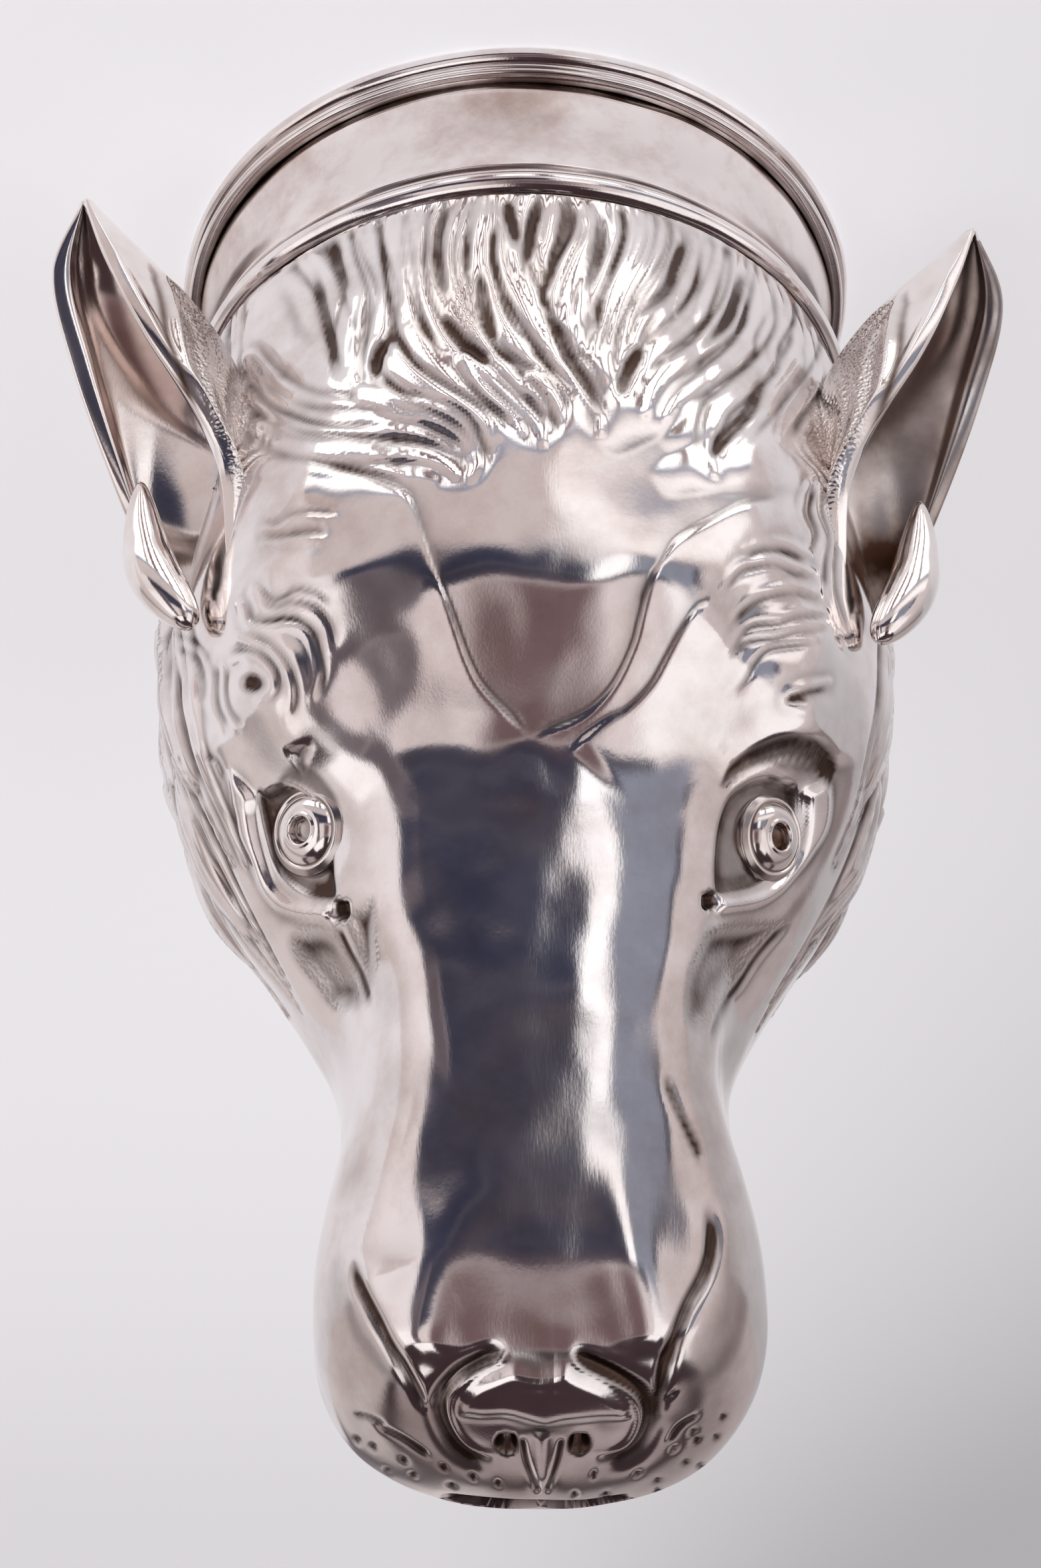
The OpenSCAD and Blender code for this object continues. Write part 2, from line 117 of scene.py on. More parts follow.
# Distance from the collar, half width, face, jaw, middle, squareness of the face and jaw sides
SECTIONS = np.array([
    (0, 36.2, 36.2, 36.2, 0, 2, 2),
    (21, 36.3, 37.2, 34.6, 0, 2, 2),
    (39, 36.4, 34.8, 31, -1, 2.1, 2),
    (44, 35.6, 33.8, 29.5, -1, 2.1, 2),
    (57, 31.6, 26, 24.8, -0.5, 2.05, 2),
    (80, 17.8, 20.6, 17.8, 1, 2.8, 2.1),
    (98, 19.4, 17.2, 15.4, 2, 2.8, 2.3),
])
SECTION_D = SECTIONS[:, 0]
FACE_COLUMN, MIDDLE_COLUMN = 2, 4
FLEW_D = SECTION_D[-1]
CAP_LEN = HEAD_LEN - FLEW_D
CAP_ACROSS, CAP_FACE, CAP_JAW = 2.5, 2, 2
EYE_D, EYE_ANGLE = 61, 51
FOREHEAD_D = 44
NOSE_D = HEAD_LEN - 7
FACE_SPREAD = 5.5


def section_slopes():
    run = np.diff(SECTION_D)[:, None]
    rate = np.diff(SECTIONS, axis=0) / run
    slopes = np.zeros_like(SECTIONS)
    slopes[1:-1] = (rate[:-1] * run[1:] + rate[1:] * run[:-1]) / (run[1:] + run[:-1])
    slopes[-1, FACE_COLUMN] = rate[-1, FACE_COLUMN]
    return slopes


SLOPES = section_slopes()


def section_at(d):
    at = np.clip(d, 0, FLEW_D)
    i = np.clip(np.searchsorted(SECTION_D, at, side="right") - 1, 0, len(SECTIONS) - 2)
    run = (SECTION_D[i + 1] - SECTION_D[i])[..., None]
    t = (at - SECTION_D[i])[..., None] / run
    return ((2 * t ** 3 - 3 * t ** 2 + 1) * SECTIONS[i] + (t ** 3 - 2 * t ** 2 + t) * run * SLOPES[i]
            + (3 * t ** 2 - 2 * t ** 3) * SECTIONS[i + 1] + (t ** 3 - t ** 2) * run * SLOPES[i + 1]
            + np.maximum(d - FLEW_D, 0)[..., None] * SLOPES[-1])


def rounding(d, power):
    q = np.clip((d - FLEW_D) / CAP_LEN, 0, 1)
    return np.maximum(1 - q ** power, 1e-12) ** (1 / power)


def skin(d, angle, out=0.0):
    """Points of the plain head, at a distance from the collar and an angle in degrees from the forehead."""
    d, angle, out = np.broadcast_arrays(np.asarray(d, float), np.asarray(angle, float), out)
    s = section_at(d)
    sine, cosine = np.sin(np.radians(angle)), np.cos(np.radians(angle))
    half = s[..., 1] * rounding(d, CAP_ACROSS)
    face = (s[..., 2] + s[..., 4]) * rounding(d, CAP_FACE)
    jaw = (s[..., 3] - s[..., 4]) * rounding(d, CAP_JAW)
    depth = np.where(cosine > 0, face, jaw)
    power = np.where(cosine > 0, s[..., 5], s[..., 6])
    r = ((np.abs(sine) / half) ** power + (np.abs(cosine) / depth) ** power) ** (-1 / power) + out
    return np.stack((r * sine, s[..., 4] - r * cosine, COLLAR_H + d), -1)


# Soft swellings of the face: distance from the collar, angle, height
SWELLINGS = [
    (EYE_D - 9, EYE_ANGLE - 6, 1.9), (EYE_D - 9, EYE_ANGLE + 14, 0.95), (EYE_D, EYE_ANGLE, -1.5),
    (EYE_D + 12, EYE_ANGLE + 2, -1.8), (EYE_D + 20.25, EYE_ANGLE + 6, -0.9),
    (NOSE_D, 0, 1.8), (NOSE_D, 34, 1.8),
]
MOUTH_ANGLE, MOUTH_SPREAD, MOUTH_DEPTH, MOUTH_START = 104, 5, 1.4, 83.5


def swelling(d, angle):
    p = skin(d, angle)
    raised = -MOUTH_DEPTH * np.exp(-((angle - MOUTH_ANGLE) / MOUTH_SPREAD) ** 2)
    raised = raised * np.clip((d - MOUTH_START) / (FLEW_D - MOUTH_START), 0, 1) * rounding(d, CAP_ACROSS)
    for at_d, at_angle, height in SWELLINGS:
        away = np.linalg.norm(p - skin(at_d, at_angle), axis=-1)
        raised = raised + height * np.exp(-(away / FACE_SPREAD) ** 2)
    return raised


# Main locks of fur, as on the solid head: distance and angle of the root, then of the tip
FUR_RISE, LOCK_W, LOCK_LEN, LOCK_ROW, LOCK_TURN = 1.1, 10, 17, 12, 4
LOCK_TAPER, LOCK_ARCH, FUR_START = 0.7, 0.7, 4
# The crown's locks lie flatter than on the solid
CROWN_SHARE = 0.35
CROWN_TUFTS = [
    (0, 6, 22, 2), (0, 21, 25, 9), (0, 37, 24, 24), (2, 54, 22, 38), (12, 50, 31, 17), (21, 48, 35, 16),
    (18, 24, 32, 8),
]
TUFT_ROW_STARTS = (66, 74, 80, 76, 84)
FUR_R = SECTIONS[1, 1]


def laid_out(d, angle):
    """The skin laid out flat: length round the head and distance along it, in millimetres."""
    return np.stack(np.broadcast_arrays(FUR_R * np.radians(angle), d), -1)


def side_tufts():
    step = math.degrees(LOCK_W / FUR_R)
    return [(LOCK_ROW * row, angle, LOCK_ROW * row + LOCK_LEN, angle - LOCK_TURN)
            for row, start in enumerate(TUFT_ROW_STARTS) for angle in np.arange(start, 180, step)]


def fur_coat(d, angle):
    """Height of the main locks, the same on both halves."""
    flat = laid_out(d, np.abs(angle))
    coat = np.zeros(flat.shape[:-1])
    tufts = [(tuft, CROWN_SHARE) for tuft in CROWN_TUFTS] + [(tuft, 1) for tuft in side_tufts()]
    for (root_d, root_angle, tip_d, tip_angle), share in tufts:
        root = laid_out(root_d, root_angle)
        along = laid_out(tip_d, tip_angle) - root
        t = np.clip((flat - root) @ along / (along @ along), 0, 1)
        half = LOCK_W / 2 * (1 - LOCK_TAPER * t ** 2)
        off = np.linalg.norm(flat - root - t[..., None] * along, axis=-1)
        arch = np.sin(np.pi * t) ** LOCK_ARCH
        rise = share * FUR_RISE * arch * np.clip(1 - (off / half) ** 2, 0, 1)
        coat = np.maximum(coat, rise)
    return coat * np.clip((d + 1) / FUR_START, 0, 1)


# Grid of the head: rows along it, closer where the work is finer, and columns round each half
ROW_BANDS = [(0, 45, 120), (45, 74, 92), (74, 92, 27), (92, FLEW_D, 18)]
CAP_ROWS = 94
HALF_COLUMNS = 270
# Columns lie further apart on the jaw's side, from this angle on
JAW_DENSITY, JAW_START, JAW_BLEND = 0.25, 95, 35
INNER_ROW_STEP, INNER_COLUMN_STEP = 5, 9
# Skin that hardly faces the camera, or lies past this angle, takes no line traced on the photograph
LEAST_FACING, LAST_ANGLE, OFF_PHOTO = 0.02, 125, -1e6


def grid_rows():
    body = [np.linspace(start, end, count, endpoint=False) for start, end, count in ROW_BANDS]
    cap = FLEW_D + CAP_LEN * np.sin(np.pi / 2 * np.arange(CAP_ROWS) / CAP_ROWS)
    return np.concatenate(body + [cap])


def half_angles():
    fine = np.linspace(0, 180, 1801)
    density = JAW_DENSITY + (1 - JAW_DENSITY) * (1 - smooth((fine - JAW_START) / JAW_BLEND))
    total = np.concatenate(([0], np.cumsum((density[1:] + density[:-1]) / 2)))
    return np.interp(np.linspace(0, total[-1], HALF_COLUMNS + 1), total, fine)


class HeadGrid:
    """The plain head as a grid of points, with outward normals and places in the photograph."""

    def __init__(self):
        self.rows = grid_rows()
        right = half_angles()
        d, a = np.meshgrid(self.rows, right, indexing="ij")
        half = skin(d, a, swelling(d, a))
        half[:, (0, -1), 0] = 0
        self.points = np.concatenate((half[:, :0:-1] * (-1, 1, 1), half), 1)
        normal = np.cross(np.gradient(self.points, axis=1), np.gradient(self.points, axis=0))
        normal[0, :, 2] = 0
        normal[:, (0, HALF_COLUMNS, -1), 0] = 0
        self.normals = unit(normal)
        self.d, self.a = np.meshgrid(self.rows, np.concatenate((-right[:0:-1], right)), indexing="ij")
        self.tip = np.array((0, SECTIONS[-1, MIDDLE_COLUMN], COLLAR_H + HEAD_LEN))
        facing = (unit(CAMERA_AT - self.points) * self.normals).sum(-1)
        pixel = photo_pixel(self.points)
        pixel[(facing < LEAST_FACING) | (np.abs(self.a) > LAST_ANGLE)] = OFF_PHOTO
        self.photo = pixel.reshape(-1, 2)
        self.wrap = laid_out(self.d, self.a).reshape(-1, 2)


# Lines and shapes drawn on the grid
def curve_between(a, b, c, d, t):
    """A smooth curve from b to c, coming from a and going on to d."""
    return (b + (c - a) / 2 * t + (2 * a - 5 * b + 4 * c - d) / 2 * t ** 2
            + (3 * b - a - 3 * c + d) / 2 * t ** 3)


def smooth_line(points, closed=False, steps=6):
    p = np.asarray(points, float)
    if closed:
        p = np.vstack((p[-1], p, p[0], p[1]))
    else:
        p = np.vstack((2 * p[0] - p[1], p, 2 * p[-1] - p[-2]))
    t = (np.arange(steps) / steps)[:, None]
    pieces = [curve_between(a, b, c, d, t) for a, b, c, d in zip(p, p[1:], p[2:], p[3:])]
    return np.vstack(pieces + [p[-2:-1]])


def beside(points, shift):
    """The same line moved over to its left."""
    p = np.asarray(points, float)
    along = unit(np.gradient(p, axis=0))
    return p + shift * np.stack((along[:, 1], -along[:, 0]), 1)


def near_line(plane, line, reach, whole=False):
    """Grid points near a line: which, their offset to its left, their place along it from 0 to 1."""
    low, high = line.min(0) - reach, line.max(0) + reach
    found = np.flatnonzero(((plane > low) & (plane < high)).all(1))
    p = plane[found]
    step = np.diff(line, axis=0)
    length = np.maximum(np.linalg.norm(step, axis=1), TINY)
    run = np.concatenate(([0], np.cumsum(length)))
    best = np.full(len(p), np.inf)
    side = np.zeros(len(p))
    along = np.zeros(len(p))
    for k in range(len(step)):
        from_start = p - line[k]
        t = np.clip(from_start @ step[k] / length[k] ** 2, 0, 1)
        away = np.linalg.norm(from_start - t[:, None] * step[k], axis=1)
        closer = away < best
        best[closer] = away[closer]
        turn = step[k, 0] * from_start[:, 1] - step[k, 1] * from_start[:, 0]
        side[closer] = np.where(turn[closer] < 0, 1, -1)
        along[closer] = (run[k] + t[closer] * length[k]) / run[-1]
    if not whole:
        near = best < reach
        found, best, side, along = found[near], best[near], side[near], along[near]
    return found, best * side, along


def near_shape(plane, points, reach):
    """Grid points in or near a closed shape: which, and their depth inside it."""
    ring = smooth_line(points, closed=True)
    found, off, _ = near_line(plane, ring, reach, whole=True)
    p = plane[found]
    inside = np.zeros(len(p), bool)
    for (x0, y0), (x1, y1) in zip(ring[:-1], ring[1:]):
        if y0 != y1:
            crosses = (y0 > p[:, 1]) != (y1 > p[:, 1])
            inside ^= crosses & (p[:, 0] < (x1 - x0) * (p[:, 1] - y0) / (y1 - y0) + x0)
    return found, np.where(inside, np.abs(off), -np.abs(off))


# Form of a strand: share of its width at the root, where it is full, how it narrows, how flat its top is,
# depth and sharpness of its grooves, how far it sinks towards the tip
STRAND_ROOT, STRAND_FULL, STRAND_NARROW, STRAND_FLAT = 0.7, 0.2, 2.2, 2.4
STRAND_GROOVE, STRAND_SHARP, STRAND_SINK, STRAND_SINK_POWER = 0.3, 5, 0.7, 1.5
# Lines are worked out to this many half widths, and their ends fade over no less than this share
LINE_REACH, SHARP_END = 2.5, 1e-6
# A chased line this deep is stained by this share, a shallower one by less
STAINED_DEPTH, LINE_STAIN = 0.3, 0.85


def at_least(field, at, value):
    field[at] = np.maximum(field[at], value)


class Relief:
    """Chased work on the head, as heights in millimetres along the normals, drawn on one plane at a time."""

    def __init__(self, grid):
        self.grid = grid
        self.plane = grid.photo
        self.form, self.fur, self.cuts, self.stipple, self.stain = np.zeros((5, grid.d.size))

    def lock(self, points, half, height, strands, lean, tip):
        """A strand of fur: rounded, grooved along its length, narrowing to its tip."""
        at, off, along = near_line(self.plane, smooth_line(points), half)
        full = STRAND_ROOT + (1 - STRAND_ROOT) * smooth(along / STRAND_FULL)
        x = off / (half * full * (1 - tip * along ** STRAND_NARROW))
        body = np.clip(1 - np.abs(x) ** STRAND_FLAT, 0, 1) * (1 + lean * x)
        grooves = (0.5 + 0.5 * np.cos(np.pi * strands * (x + 1))) ** STRAND_SHARP
        grooved = 1 - STRAND_GROOVE * grooves * (strands > 1)
        at_least(self.fur, at, height * body * grooved * (1 - STRAND_SINK * along ** STRAND_SINK_POWER))

    def near(self, points, reach, start, end):
        """Grid points near a line: which, their offset to its left, and a share that fades at both ends."""
        at, off, along = near_line(self.plane, smooth_line(points), reach)
        return at, off, smooth(along / max(start, SHARP_END)) * smooth((1 - along) / max(end, SHARP_END))

    def groove(self, points, half, depth, start, end):
        """A chased line, deepest in its middle stretch."""
        at, off, ends = self.near(points, half * LINE_REACH, start, end)
        trace = ends * np.exp(-(off / half) ** 2)
        at_least(self.cuts, at, depth * trace)
        at_least(self.stain, at, min(depth / STAINED_DEPTH, 1) * LINE_STAIN * trace)

    def ridge(self, points, half, height, start, end):
        """A soft raised line, or a hollow one where the height is below zero."""
        at, off, ends = self.near(points, half * LINE_REACH, start, end)
        self.form[at] += height * ends * np.exp(-(off / half) ** 2)

    def fold(self, points, sharp, reach, height, start, end):
        """A step that is sharp on the line's right and fades away on its left."""
        at, off, ends = self.near(points, reach * 2, start, end)
        rise = 0.5 + 0.5 * np.tanh(off / sharp)
        self.form[at] += height * ends * rise * np.exp(-(np.maximum(off, 0) / reach) ** 2)

    def pad(self, points, edge, height):
        """A raised or sunken shape with a rounded edge of that width."""
        at, depth = near_shape(self.plane, points, edge)
        self.form[at] += height * smooth(depth / edge)

    def spread(self, field, points, edge, amount):
        at, depth = near_shape(self.plane, points, edge)
        at_least(field, at, amount * smooth(depth / edge + 0.5))

    def roughen(self, points, edge, amount):
        self.spread(self.stipple, points, edge, amount)

    def tarnish(self, points, edge, amount):
        self.spread(self.stain, points, edge, amount)

    def pit(self, point, radius, depth):
        """A small punched pit, dark at its bottom."""
        away = np.linalg.norm(self.plane - np.asarray(point, float), axis=1)
        at = np.flatnonzero(away < LINE_REACH * radius)
        trace = np.exp(-(away[at] / radius) ** 2)
        self.form[at] -= depth * trace
        at_least(self.stain, at, trace)


# Chased work traced on the photograph, in its pixels
CROWN_LOCKS = [
    [(446, 374), (482, 416), (500, 458), (518, 512), (521, 572)],
    [(506, 338), (524, 392), (542, 440), (530, 500), (524, 548), (542, 590)],
    [(542, 314), (554, 380), (572, 440), (566, 512), (554, 572)],
    [(590, 296), (596, 368), (602, 428), (614, 488), (644, 542), (692, 584)],
    [(632, 287), (626, 350), (632, 416), (656, 482), (686, 524), (710, 542)],
    [(674, 284), (662, 344), (659, 404), (674, 458), (704, 512), (740, 542)],
    [(710, 284), (692, 344), (686, 404), (704, 458), (734, 512), (764, 548), (800, 560)],
    [(734, 284), (728, 338), (722, 392), (734, 452), (758, 500), (794, 536), (818, 554)],
    [(758, 284), (764, 344), (770, 398), (794, 452), (830, 512), (872, 566), (902, 626), (905, 650)],
    [(794, 284), (782, 338), (788, 392), (806, 452)],
    [(830, 284), (818, 344), (809, 398), (806, 452)],
    [(872, 296), (878, 350), (854, 404), (836, 458), (836, 500)],
    [(896, 296), (902, 344), (884, 398), (866, 446), (860, 500), (866, 530)],
    [(920, 296), (920, 350), (902, 404), (884, 458), (884, 524)],
    [(949, 296), (961, 344), (949, 392), (920, 446), (902, 494), (896, 530)],
    [(985, 308), (991, 356), (979, 398), (949, 446), (931, 500), (931, 542)],
    [(1015, 314), (1021, 368), (1003, 416), (973, 458), (949, 506), (943, 560), (946, 596)],
    [(1045, 326), (1051, 380), (1033, 434), (1021, 470)],
    [(1081, 344), (1075, 398), (1063, 446), (1027, 494), (985, 530), (973, 560)],
    [(1117, 362), (1111, 410), (1099, 458), (1081, 500), (1033, 542), (991, 584), (973, 626)],
    [(1141, 398), (1147, 440), (1147, 488), (1123, 524), (1075, 560), (1027, 596), (1003, 632)],
    [(1171, 422), (1183, 464), (1159, 512), (1153, 548), (1117, 584), (1081, 620), (1069, 668),
     (1075, 716)],
    [(1201, 458), (1213, 512), (1189, 560), (1153, 602), (1117, 644), (1093, 680)],
    [(1225, 500), (1231, 560), (1195, 614), (1171, 662)],
    [(380, 542), (410, 584), (470, 614), (542, 620), (608, 608)],
    [(386, 596), (440, 632), (518, 644), (602, 644), (656, 656), (692, 680)],
    [(392, 644), (458, 674), (542, 680), (608, 680), (656, 692), (686, 716)],
    [(470, 674), (548, 692), (602, 716)],
    [(548, 596), (590, 608), (644, 620), (692, 644), (716, 692), (710, 722)],
    [(572, 518), (608, 560), (656, 596), (716, 632), (740, 674)],
    [(704, 542), (740, 584), (776, 620), (788, 650)],
    [(740, 548), (782, 590), (812, 632), (818, 668)],
    [(800, 572), (830, 608), (842, 632)],
]
# Deep dark gaps between the locks of the crown
CROWN_GAPS = [
    [(682, 289), (664, 335), (659, 377), (667, 435), (688, 478)],
    [(761, 295), (774, 345), (780, 388)],
    [(817, 289), (800, 340), (794, 386), (798, 420)],
    [(864, 289), (858, 341), (836, 388), (829, 430)],
    [(908, 306), (905, 365), (888, 424), (878, 460)],
    [(1040, 341), (1022, 388), (999, 441), (940, 488)],
    [(720, 400), (729, 465), (752, 523)],
    [(659, 465), (705, 523), (764, 559)],
    [(500, 347), (512, 406), (535, 453)],
    [(817, 453), (852, 523), (893, 594), (902, 641)],
    [(557, 572), (572, 530), (596, 494)],
    [(934, 606), (946, 559), (970, 512)],
    [(1064, 705), (1087, 664), (1134, 611), (1152, 540)],
    [(470, 400), (484, 450), (500, 520), (508, 560)],
    [(1120, 400), (1108, 450), (1090, 490), (1050, 530)],
]
TEMPLE_LOCKS = [
    [(394, 797), (418, 797), (440, 786), (468, 781), (511, 783)],
    [(397, 818), (433, 815), (472, 811), (490, 815)],
    [(379, 886), (401, 911), (426, 908), (447, 897), (472, 901), (490, 918)],
    [(376, 897), (394, 918), (418, 922), (443, 915), (468, 922), (486, 947), (493, 979)],
    [(361, 911), (369, 940), (394, 947), (426, 940), (454, 951), (468, 979), (476, 1015), (468, 1054)],
    [(358, 961), (383, 972), (408, 986), (429, 1018), (435, 1051), (429, 1083)],
    [(347, 997), (361, 990), (383, 993), (401, 1011), (404, 1036), (390, 1054)],
    [(315, 997), (311, 1033), (315, 1068), (333, 1101)],
    [(329, 1004), (326, 1040), (336, 1076), (358, 1101)],
    [(261, 983), (283, 997), (294, 1026), (294, 1061)],
    [(254, 961), (286, 976), (304, 1001), (308, 1033)],
    [(301, 1151), (319, 1154), (329, 1176)],
    [(1221, 833), (1186, 818), (1150, 818), (1121, 829)],
    [(1228, 861), (1200, 851), (1171, 840), (1139, 843), (1111, 854), (1086, 886)],
    [(1232, 893), (1203, 883), (1171, 886), (1143, 893), (1118, 911), (1100, 936)],
    [(1243, 922), (1211, 918), (1178, 926), (1143, 929), (1118, 943), (1096, 972)],
    [(1239, 940), (1203, 943), (1168, 951), (1132, 954), (1107, 965), (1086, 990)],
    [(1228, 961), (1193, 961), (1157, 968), (1132, 990), (1114, 1018), (1093, 1043)],
    [(1246, 1026), (1211, 1033), (1186, 1043), (1182, 1061), (1203, 1065), (1221, 1068)],
    [(1221, 729), (1214, 765), (1225, 801), (1214, 826)],
    [(1236, 733), (1232, 769), (1243, 804), (1239, 840), (1236, 890)],
    [(1250, 736), (1246, 772), (1253, 811), (1250, 854), (1253, 897), (1264, 940), (1278, 979)],
]
# Folds of the forehead, each with the brow on its left
FOREHEAD_FOLDS = [
    [(800, 1106), (733, 1040), (708, 997), (690, 947), (675, 904), (658, 861), (633, 783), (615, 744),
     (579, 726), (526, 711), (454, 694), (401, 676)],
    [(1175, 747), (1121, 758), (1068, 783), (1021, 811), (1000, 836), (978, 872), (964, 926), (953, 968),
     (932, 1015), (907, 1051), (871, 1079), (800, 1106)],
    [(1071, 897), (1043, 918), (1021, 951), (1000, 990), (978, 1029), (943, 1065), (907, 1086),
     (853, 1130)],
]
EYE_OPENINGS = [
    [(388, 1192), (400, 1191), (416, 1183), (435, 1182), (457, 1193), (476, 1212), (494, 1242), (502, 1280),
     (506, 1315), (508, 1352), (480, 1356), (450, 1346), (425, 1325), (410, 1298), (400, 1262),
     (392, 1225)],
    [(1076, 1344), (1072, 1290), (1078, 1240), (1094, 1200), (1122, 1178), (1150, 1170), (1175, 1176),
     (1198, 1184), (1201, 1215), (1198, 1255), (1188, 1290), (1170, 1316), (1140, 1338), (1105, 1347)],
]
EYE_RIMS = [
    [(344, 1154), (346, 1203), (352, 1232), (357, 1264), (374, 1300), (390, 1346), (413, 1374), (441, 1384),
     (473, 1387), (502, 1388), (496, 1366), (470, 1362), (440, 1352), (418, 1330), (405, 1300), (394, 1262),
     (388, 1225), (384, 1192)],
    [(1249, 1164), (1257, 1204), (1250, 1251), (1228, 1290), (1200, 1325), (1176, 1350), (1146, 1367),
     (1109, 1374), (1080, 1377), (1082, 1354), (1110, 1351), (1146, 1341), (1175, 1319), (1193, 1290),
     (1203, 1250), (1206, 1210), (1206, 1186), (1226, 1178)],
]
LASHES = [
    [(420, 1178), (432, 1160), (455, 1150), (480, 1166), (505, 1200), (515, 1240), (497, 1222), (470, 1192),
     (440, 1176)],
    [(1082, 1185), (1096, 1155), (1120, 1132), (1150, 1116), (1185, 1106), (1220, 1108), (1248, 1130),
     (1258, 1162), (1228, 1165), (1190, 1160), (1150, 1152), (1112, 1166)],
]
EYE_PITS = [[(513, 1358), (516, 1384)], [(1068, 1345), (1069, 1368)]]
EYE_LEAVES = [
    [(435, 1410), (473, 1398), (505, 1408), (524, 1430), (543, 1468), (548, 1512), (499, 1519), (470, 1484),
     (441, 1446)],
    [(524, 1379), (531, 1417), (550, 1475), (559, 1490), (569, 1443), (572, 1395), (566, 1352),
     (545, 1366)],
    [(1129, 1392), (1185, 1388), (1170, 1404), (1141, 1436), (1116, 1475), (1090, 1513), (1071, 1545),
     (1030, 1540), (1030, 1468), (1046, 1427), (1070, 1398)],
]
BROW_ARC = [
    (1087, 1165), (1109, 1143), (1141, 1124), (1173, 1111), (1205, 1108), (1237, 1117), (1253, 1143),
    (1258, 1165),
]
BROW_LEAF = [(425, 1132), (450, 1122), (474, 1118), (462, 1148), (455, 1170), (440, 1150)]
ROSETTE = (376, 1029)
CHEEK_CREASES = [
    [(508, 1392), (524, 1430), (543, 1468), (556, 1515)],
    [(1192, 1385), (1170, 1406), (1141, 1440), (1116, 1479), (1090, 1517), (1066, 1580)],
    [(1000, 1620), (1030, 1690), (1060, 1750)],
]
MUZZLE_CREASES = [
    [(532, 1886), (541, 1932), (569, 1987), (596, 2037), (624, 2088), (645, 2132)],
    [(1065, 1799), (1074, 1862), (1065, 1915), (1034, 1973), (1007, 2040), (994, 2094), (985, 2152)],
]
NOSE_CUSHIONS = [
    [(705, 1680), (690, 1780), (668, 1880), (648, 1970), (634, 2060)],
    [(915, 1680), (932, 1780), (954, 1880), (974, 1970), (986, 2050)],
]
NOSE_PAD = [
    (771, 2045), (734, 2060), (702, 2079), (681, 2106), (684, 2136), (720, 2146), (760, 2146), (790, 2153),
    (821, 2160), (853, 2153), (899, 2148), (940, 2146), (960, 2136), (954, 2111), (922, 2083), (876, 2060),
    (853, 2045), (812, 2052),
]
NOSE_LOOPS = [
    [(771, 2042), (734, 2058), (702, 2077), (678, 2106), (678, 2138), (697, 2171), (725, 2189),
     (755, 2190)],
    [(853, 2042), (876, 2058), (922, 2081), (956, 2108), (964, 2138), (950, 2171), (922, 2189),
     (885, 2190)],
]
NOSTRILS = [
    [(752, 2160), (778, 2162), (780, 2184), (760, 2192), (742, 2178)],
    [(858, 2162), (884, 2160), (892, 2178), (878, 2192), (856, 2186)],
]
PHILTRUM = [(816, 2150), (816, 2200), (816, 2255)]
PHILTRUM_EDGES = [[(786, 2165), (794, 2205), (812, 2250)], [(847, 2166), (838, 2206), (822, 2250)]]
MOUTH = [(655, 2252), (700, 2264), (760, 2270), (816, 2271), (880, 2270), (930, 2262), (965, 2248)]
LIPS = [
    [(505, 1900), (545, 1960), (590, 2040), (640, 2120), (690, 2190), (760, 2215), (800, 2262), (700, 2268),
     (600, 2230), (530, 2170), (495, 2060), (490, 1960)],
    [(1085, 1850), (1085, 1950), (1050, 2010), (1005, 2100), (960, 2190), (880, 2215), (830, 2262),
     (930, 2268), (1030, 2225), (1085, 2150), (1105, 2040), (1105, 1930)],
]
WHISKERS = [
    (538, 2170), (562, 2180), (608, 2200), (668, 2210), (583, 2215), (712, 2225), (622, 2222), (680, 2238),
    (750, 2235), (1090, 2135), (1080, 2165), (1045, 2158), (1050, 2170), (1015, 2183), (1033, 2203),
    (1055, 2208), (960, 2220), (990, 2230), (990, 2245), (912, 2252), (895, 2222), (865, 2252),
]
WHISKER_LINES = [
    [(530, 2130), (555, 2136), (580, 2150)],
    [(565, 2148), (610, 2170), (650, 2195)],
    [(1005, 2175), (1025, 2148), (1055, 2130)],
    [(1000, 2105), (1020, 2095)],
]

# Edges and hairs that follow from the traced lines
TEMPLE_EDGES = [beside(points, 11) for points in TEMPLE_LOCKS]
BROW_HAIRS = [[(x, y + 8), (x - 14, y + 40)] for x, y in smooth_line(BROW_ARC, steps=3)[2:-2]]
PIT_SHAPES = [[(x - 7, y) for x, y in pit[::-1]] + [(x + 7, y) for x, y in pit] for pit in EYE_PITS]
NOSE_X, NOSE_Y = 816, 2120
LOOP_EDGES = [[(x + (x - NOSE_X) * 0.11, y + (y - NOSE_Y) * 0.14) for x, y in loop] for loop in NOSE_LOOPS]

# Chased lines: half width in pixels, depth in millimetres, shares of the length over which the ends fade
GROOVES = [
    (CROWN_GAPS, 9, 0.55, 0.3, 0.45), (TEMPLE_EDGES, 4, 0.1, 0.15, 0.15),
    (FOREHEAD_FOLDS, 4, 0.1, 0.05, 0.05), (BROW_HAIRS, 3.5, 0.16, 0.15, 0.15),
    (CHEEK_CREASES, 6, 0.22, 0.15, 0.15),
    (MUZZLE_CREASES, 10, 0.45, 0.2, 0.1), (LOOP_EDGES, 14, 0.65, 0.15, 0.15),
    (PHILTRUM_EDGES, 5, 0.25, 0.1, 0.1), ([MOUTH], 7, 0.9, 0.2, 0.2), (WHISKER_LINES, 4.5, 0.22, 0.15, 0.15),
]
# Steps: width of the sharp side and reach of the soft one in pixels, height in millimetres, fading ends
FOLDS = [
    (FOREHEAD_FOLDS, 4, 90, 0.24, 0.1, 0.1), ([BROW_ARC], 5, 40, 0.35, 0.15, 0.15),
    (MUZZLE_CREASES, 6, 60, 0.3, 0.2, 0.1),
]
